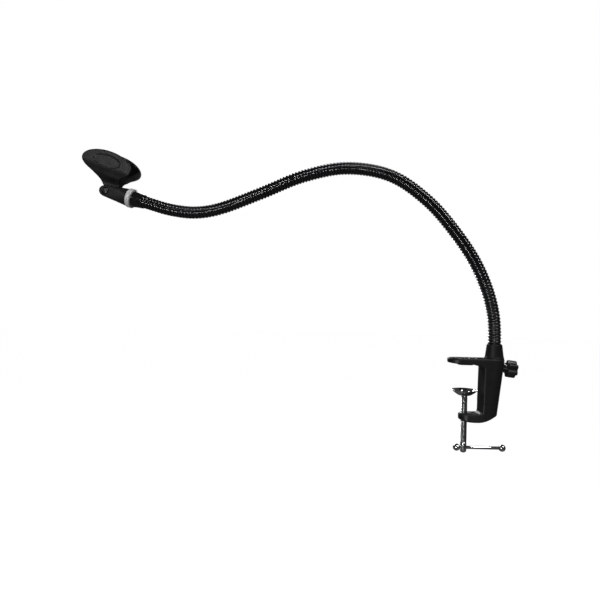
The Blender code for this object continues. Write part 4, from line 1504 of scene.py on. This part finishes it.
@dataclass
class MicClip:
    """The sprung cradle: two oval wings over a round trough, on a tongue that flares into it."""

    pitch: float = radians(19.0)
    axis: float = 30.0 * MM
    middle_radius: float = 13.25 * MM
    wall: float = 2.5 * MM
    lean: float = 0.093
    oval_centre: tuple[float, float] = (33.0 * MM, 8.0 * MM)
    oval_half: tuple[float, float] = (16.0 * MM, 36.0 * MM)
    recess_centre: tuple[float, float] = (35.5 * MM, 8.0 * MM)
    recess_half: tuple[float, float] = (8.6 * MM, 20.0 * MM)
    tongue_half: float = 4.3 * MM
    knuckle: float = 6.9 * MM
    recess_depth: float = 1.0 * MM
    pin_radius: float = 2.2 * MM

    def build(self) -> None:
        """Builds and places the cradle."""
        low, high = (-8.0 * MM, -16.5 * MM, -30.0 * MM), (51.0 * MM, 16.5 * MM, 46.0 * MM)
        solid = Solid("clip_cradle", SHELL, low, high)
        x, y, z = solid.x, solid.y, solid.z
        above = (x - self.axis).most(0.0)
        far = length_of(y, (x - self.axis).least(0.0))
        section = far - (self.middle_radius - above * self.lean)
        up, along = (x - self.oval_centre[0]), (z - self.oval_centre[1])
        oval = self.oval_field(up, along, self.oval_half)
        recess_up, recess_along = x - self.recess_centre[0], z - self.recess_centre[1]
        recess = self.oval_field(recess_up, recess_along, self.recess_half)
        depth = (recess * -1.0 / (1.6 * MM)).within(0.0, 1.0)
        depth = depth * depth * (3.0 - depth * 2.0) * self.recess_depth
        shell = (section - self.wall / 2 + depth).kept(self.wall * -0.5 - section, 0.8 * MM)
        shell = shell.kept(oval, 2.2 * MM)
        rise = (x - 3.0 * MM).most(0.0)
        ahead = rise * 1.12 + 4.9 * MM
        behind = (rise * 1.22 + 5.4 * MM).least(13.5 * MM)
        flare = ((z - ahead).most(-z - behind) * 0.65).most(x - 19.0 * MM).most(-x)
        widening = ((x - 10.0 * MM) / (8.0 * MM)).within(0.0, 1.0)
        half = self.tongue_half + widening * widening * (6.5 * MM)
        tongue = (length_of(x, z) - self.knuckle).joined(flare, 4.0 * MM).kept(abs(y) - half, 1.2 * MM)
        clip = shell.joined(tongue, 9.0 * MM)
        clip = clip.kept(self.wall * -0.5 - section, 0.8 * MM)
        clip = clip.kept(self.pin_radius - length_of(x, z), 0.8 * MM)
        piece = solid.make(clip, END.place(self.pitch), cell=0.4 * MM)
        fit(piece, "clip", Slot.RUBBER, "mic_clip")

    @staticmethod
    def oval_field(up: Signal, along: Signal, half: tuple[float, float]) -> Signal:
        """An oval's field: about the distance to its edge, negative inside.

        Args:
            up: The height above its centre.
            along: The distance along from its centre.
            half: Its half height and half length.

        Returns:
            The field.
        """
        near = length_of(up / half[0], along / half[1])
        slope = length_of(up / half[0] ** 2, along / half[1] ** 2)
        return near * (near - 1.0) / (slope + 0.1)


# -------------------------------------------------------------------- studio


@dataclass
class Studio:
    """A pale floor, soft lights and the camera."""

    floor_z: float = -0.45
    camera_at: tuple[float, float, float] = (-207.5 * MM, -687.5 * MM, 75.3 * MM)
    camera_roll: float = radians(1.35)
    camera_shift: float = 0.00083
    paleness: float = 0.985
    surround: float = 0.045

    def build_camera(self) -> None:
        """Places the camera, level and square to the stand but for a slight roll."""
        data = bpy.data.cameras.new("camera")
        data.lens = 33.0
        data.sensor_width = 36.0
        data.clip_start = 0.01
        data.shift_x, data.shift_y = -self.camera_shift, self.camera_shift
        camera = bpy.data.objects.new("camera", data)
        roll = self.camera_roll
        right, up = Vector((cos(roll), 0.0, sin(roll))), Vector((-sin(roll), 0.0, cos(roll)))
        camera.matrix_world = frame_at(Vector(self.camera_at), right, up, Vector((0.0, -1.0, 0.0)))
        bpy.context.scene.collection.objects.link(camera)
        bpy.context.scene.camera = camera

    def build_floor(self) -> None:
        """A wide round floor in a pale matt finish."""
        bm = bmesh.new()
        bmesh.ops.create_circle(bm, cap_ends=True, segments=96, radius=9.0)
        mesh = bpy.data.meshes.new("floor")
        bm.to_mesh(mesh)
        bm.free()
        material = bpy.data.materials.new("pale_floor")
        material.use_nodes = True
        graph = Graph(material.node_tree)
        material.node_tree.nodes.clear()
        place = graph.add("ShaderNodeTexCoord").outputs["Object"]
        speck = graph.add("ShaderNodeTexNoise", {"Vector": place, "Scale": 60.0, "Detail": 3.0})
        tone = graph.add(
            "ShaderNodeMix",
            {
                "Factor_Float": speck.outputs[0],
                "A_Color": (0.17, 0.17, 0.17, 1.0),
                "B_Color": (0.2, 0.2, 0.2, 1.0),
            },
            data_type="RGBA",
        )
        matt = graph.add("ShaderNodeBsdfDiffuse", {"Color": tone.outputs[2]})
        glow = graph.add("ShaderNodeEmission", {"Color": (1.0, 1.0, 1.0, 1.0), "Strength": self.paleness})
        lifted = graph.add("ShaderNodeAddShader", {0: matt.outputs[0], 1: glow.outputs[0]})
        seen = graph.add("ShaderNodeLightPath").outputs["Is Camera Ray"]
        both = graph.add("ShaderNodeMixShader", {0: seen, 1: matt.outputs[0], 2: lifted.outputs[0]})
        graph.add("ShaderNodeOutputMaterial", {0: both.outputs[0]})
        mesh.materials.append(material)
        floor = bpy.data.objects.new("floor", mesh)
        floor.location.z = self.floor_z
        bpy.context.scene.collection.objects.link(floor)

    @staticmethod
    def add_light(
        name: str, place: Sequence[float], aim: Sequence[float], size: Sequence[float], power: float,
        spread: float = pi,
    ) -> None:
        """Adds a soft rectangular light.

        Args:
            name: The light's name.
            place: Where it stands.
            aim: The point that it faces.
            size: Its width and height.
            power: Its power, in watts.
            spread: The angle of its beam.
        """
        data = bpy.data.lights.new(name, "AREA")
        data.shape = "RECTANGLE"
        data.size, data.size_y = size
        data.energy = power
        data.spread = spread
        light = bpy.data.objects.new(name, data)
        light.location = place
        light.rotation_euler = (Vector(aim) - Vector(place)).to_track_quat("-Z", "Y").to_euler()
        bpy.context.scene.collection.objects.link(light)

    def build_lights(self) -> None:
        """A key light above, weaker lights in front, at the left and behind, and a dark surround.

        The camera itself sees the surround as white.
        """
        middle = (-0.2, 0.0, 0.08)
        self.add_light("key", (0.55, -0.7, 1.36), middle, (0.3, 0.3), 10.0)
        self.add_light("front", (-0.72, -1.34, -0.26), middle, (0.16, 0.2), 6.0)
        self.add_light("left", (-1.16, -0.96, 0.64), middle, (0.08, 0.4), 1.4)
        self.add_light("back", (0.1, 1.3, 0.26), (0.0, 0.0, 0.0), (0.5, 0.12), 0.1, radians(16.0))
        self.add_light("rear", (-0.9, 1.5, 0.9), middle, (0.8, 0.8), 7.0)
        world = bpy.data.worlds.new("surround")
        world.use_nodes = True
        graph = Graph(world.node_tree)
        world.node_tree.nodes.clear()
        seen = graph.add("ShaderNodeLightPath").outputs["Is Camera Ray"]
        dark = graph.add("ShaderNodeBackground", {"Color": (1.0, 1.0, 1.0, 1.0), "Strength": self.surround})
        white = graph.add("ShaderNodeBackground", {"Color": (1.0, 1.0, 1.0, 1.0), "Strength": 1.0})
        both = graph.add("ShaderNodeMixShader", {0: seen, 1: dark.outputs[0], 2: white.outputs[0]})
        graph.add("ShaderNodeOutputWorld", {0: both.outputs[0]})
        bpy.context.scene.world = world
        bpy.context.scene.view_settings.view_transform = "Standard"

    def build(self) -> None:
        """Builds the whole studio."""
        self.build_camera()
        self.build_floor()
        self.build_lights()


def main() -> None:
    Studio().build()
    DeskClamp().build()
    ClampScrew().build()
    NeckLock().build()
    NeckRoot().build()
    Gooseneck().build()
    NeckEnd().build()
    ClipBase().build()
    MicClip().build()


if __name__ == "__main__":
    logging.basicConfig(level=logging.INFO, format="%(message)s")
    main()
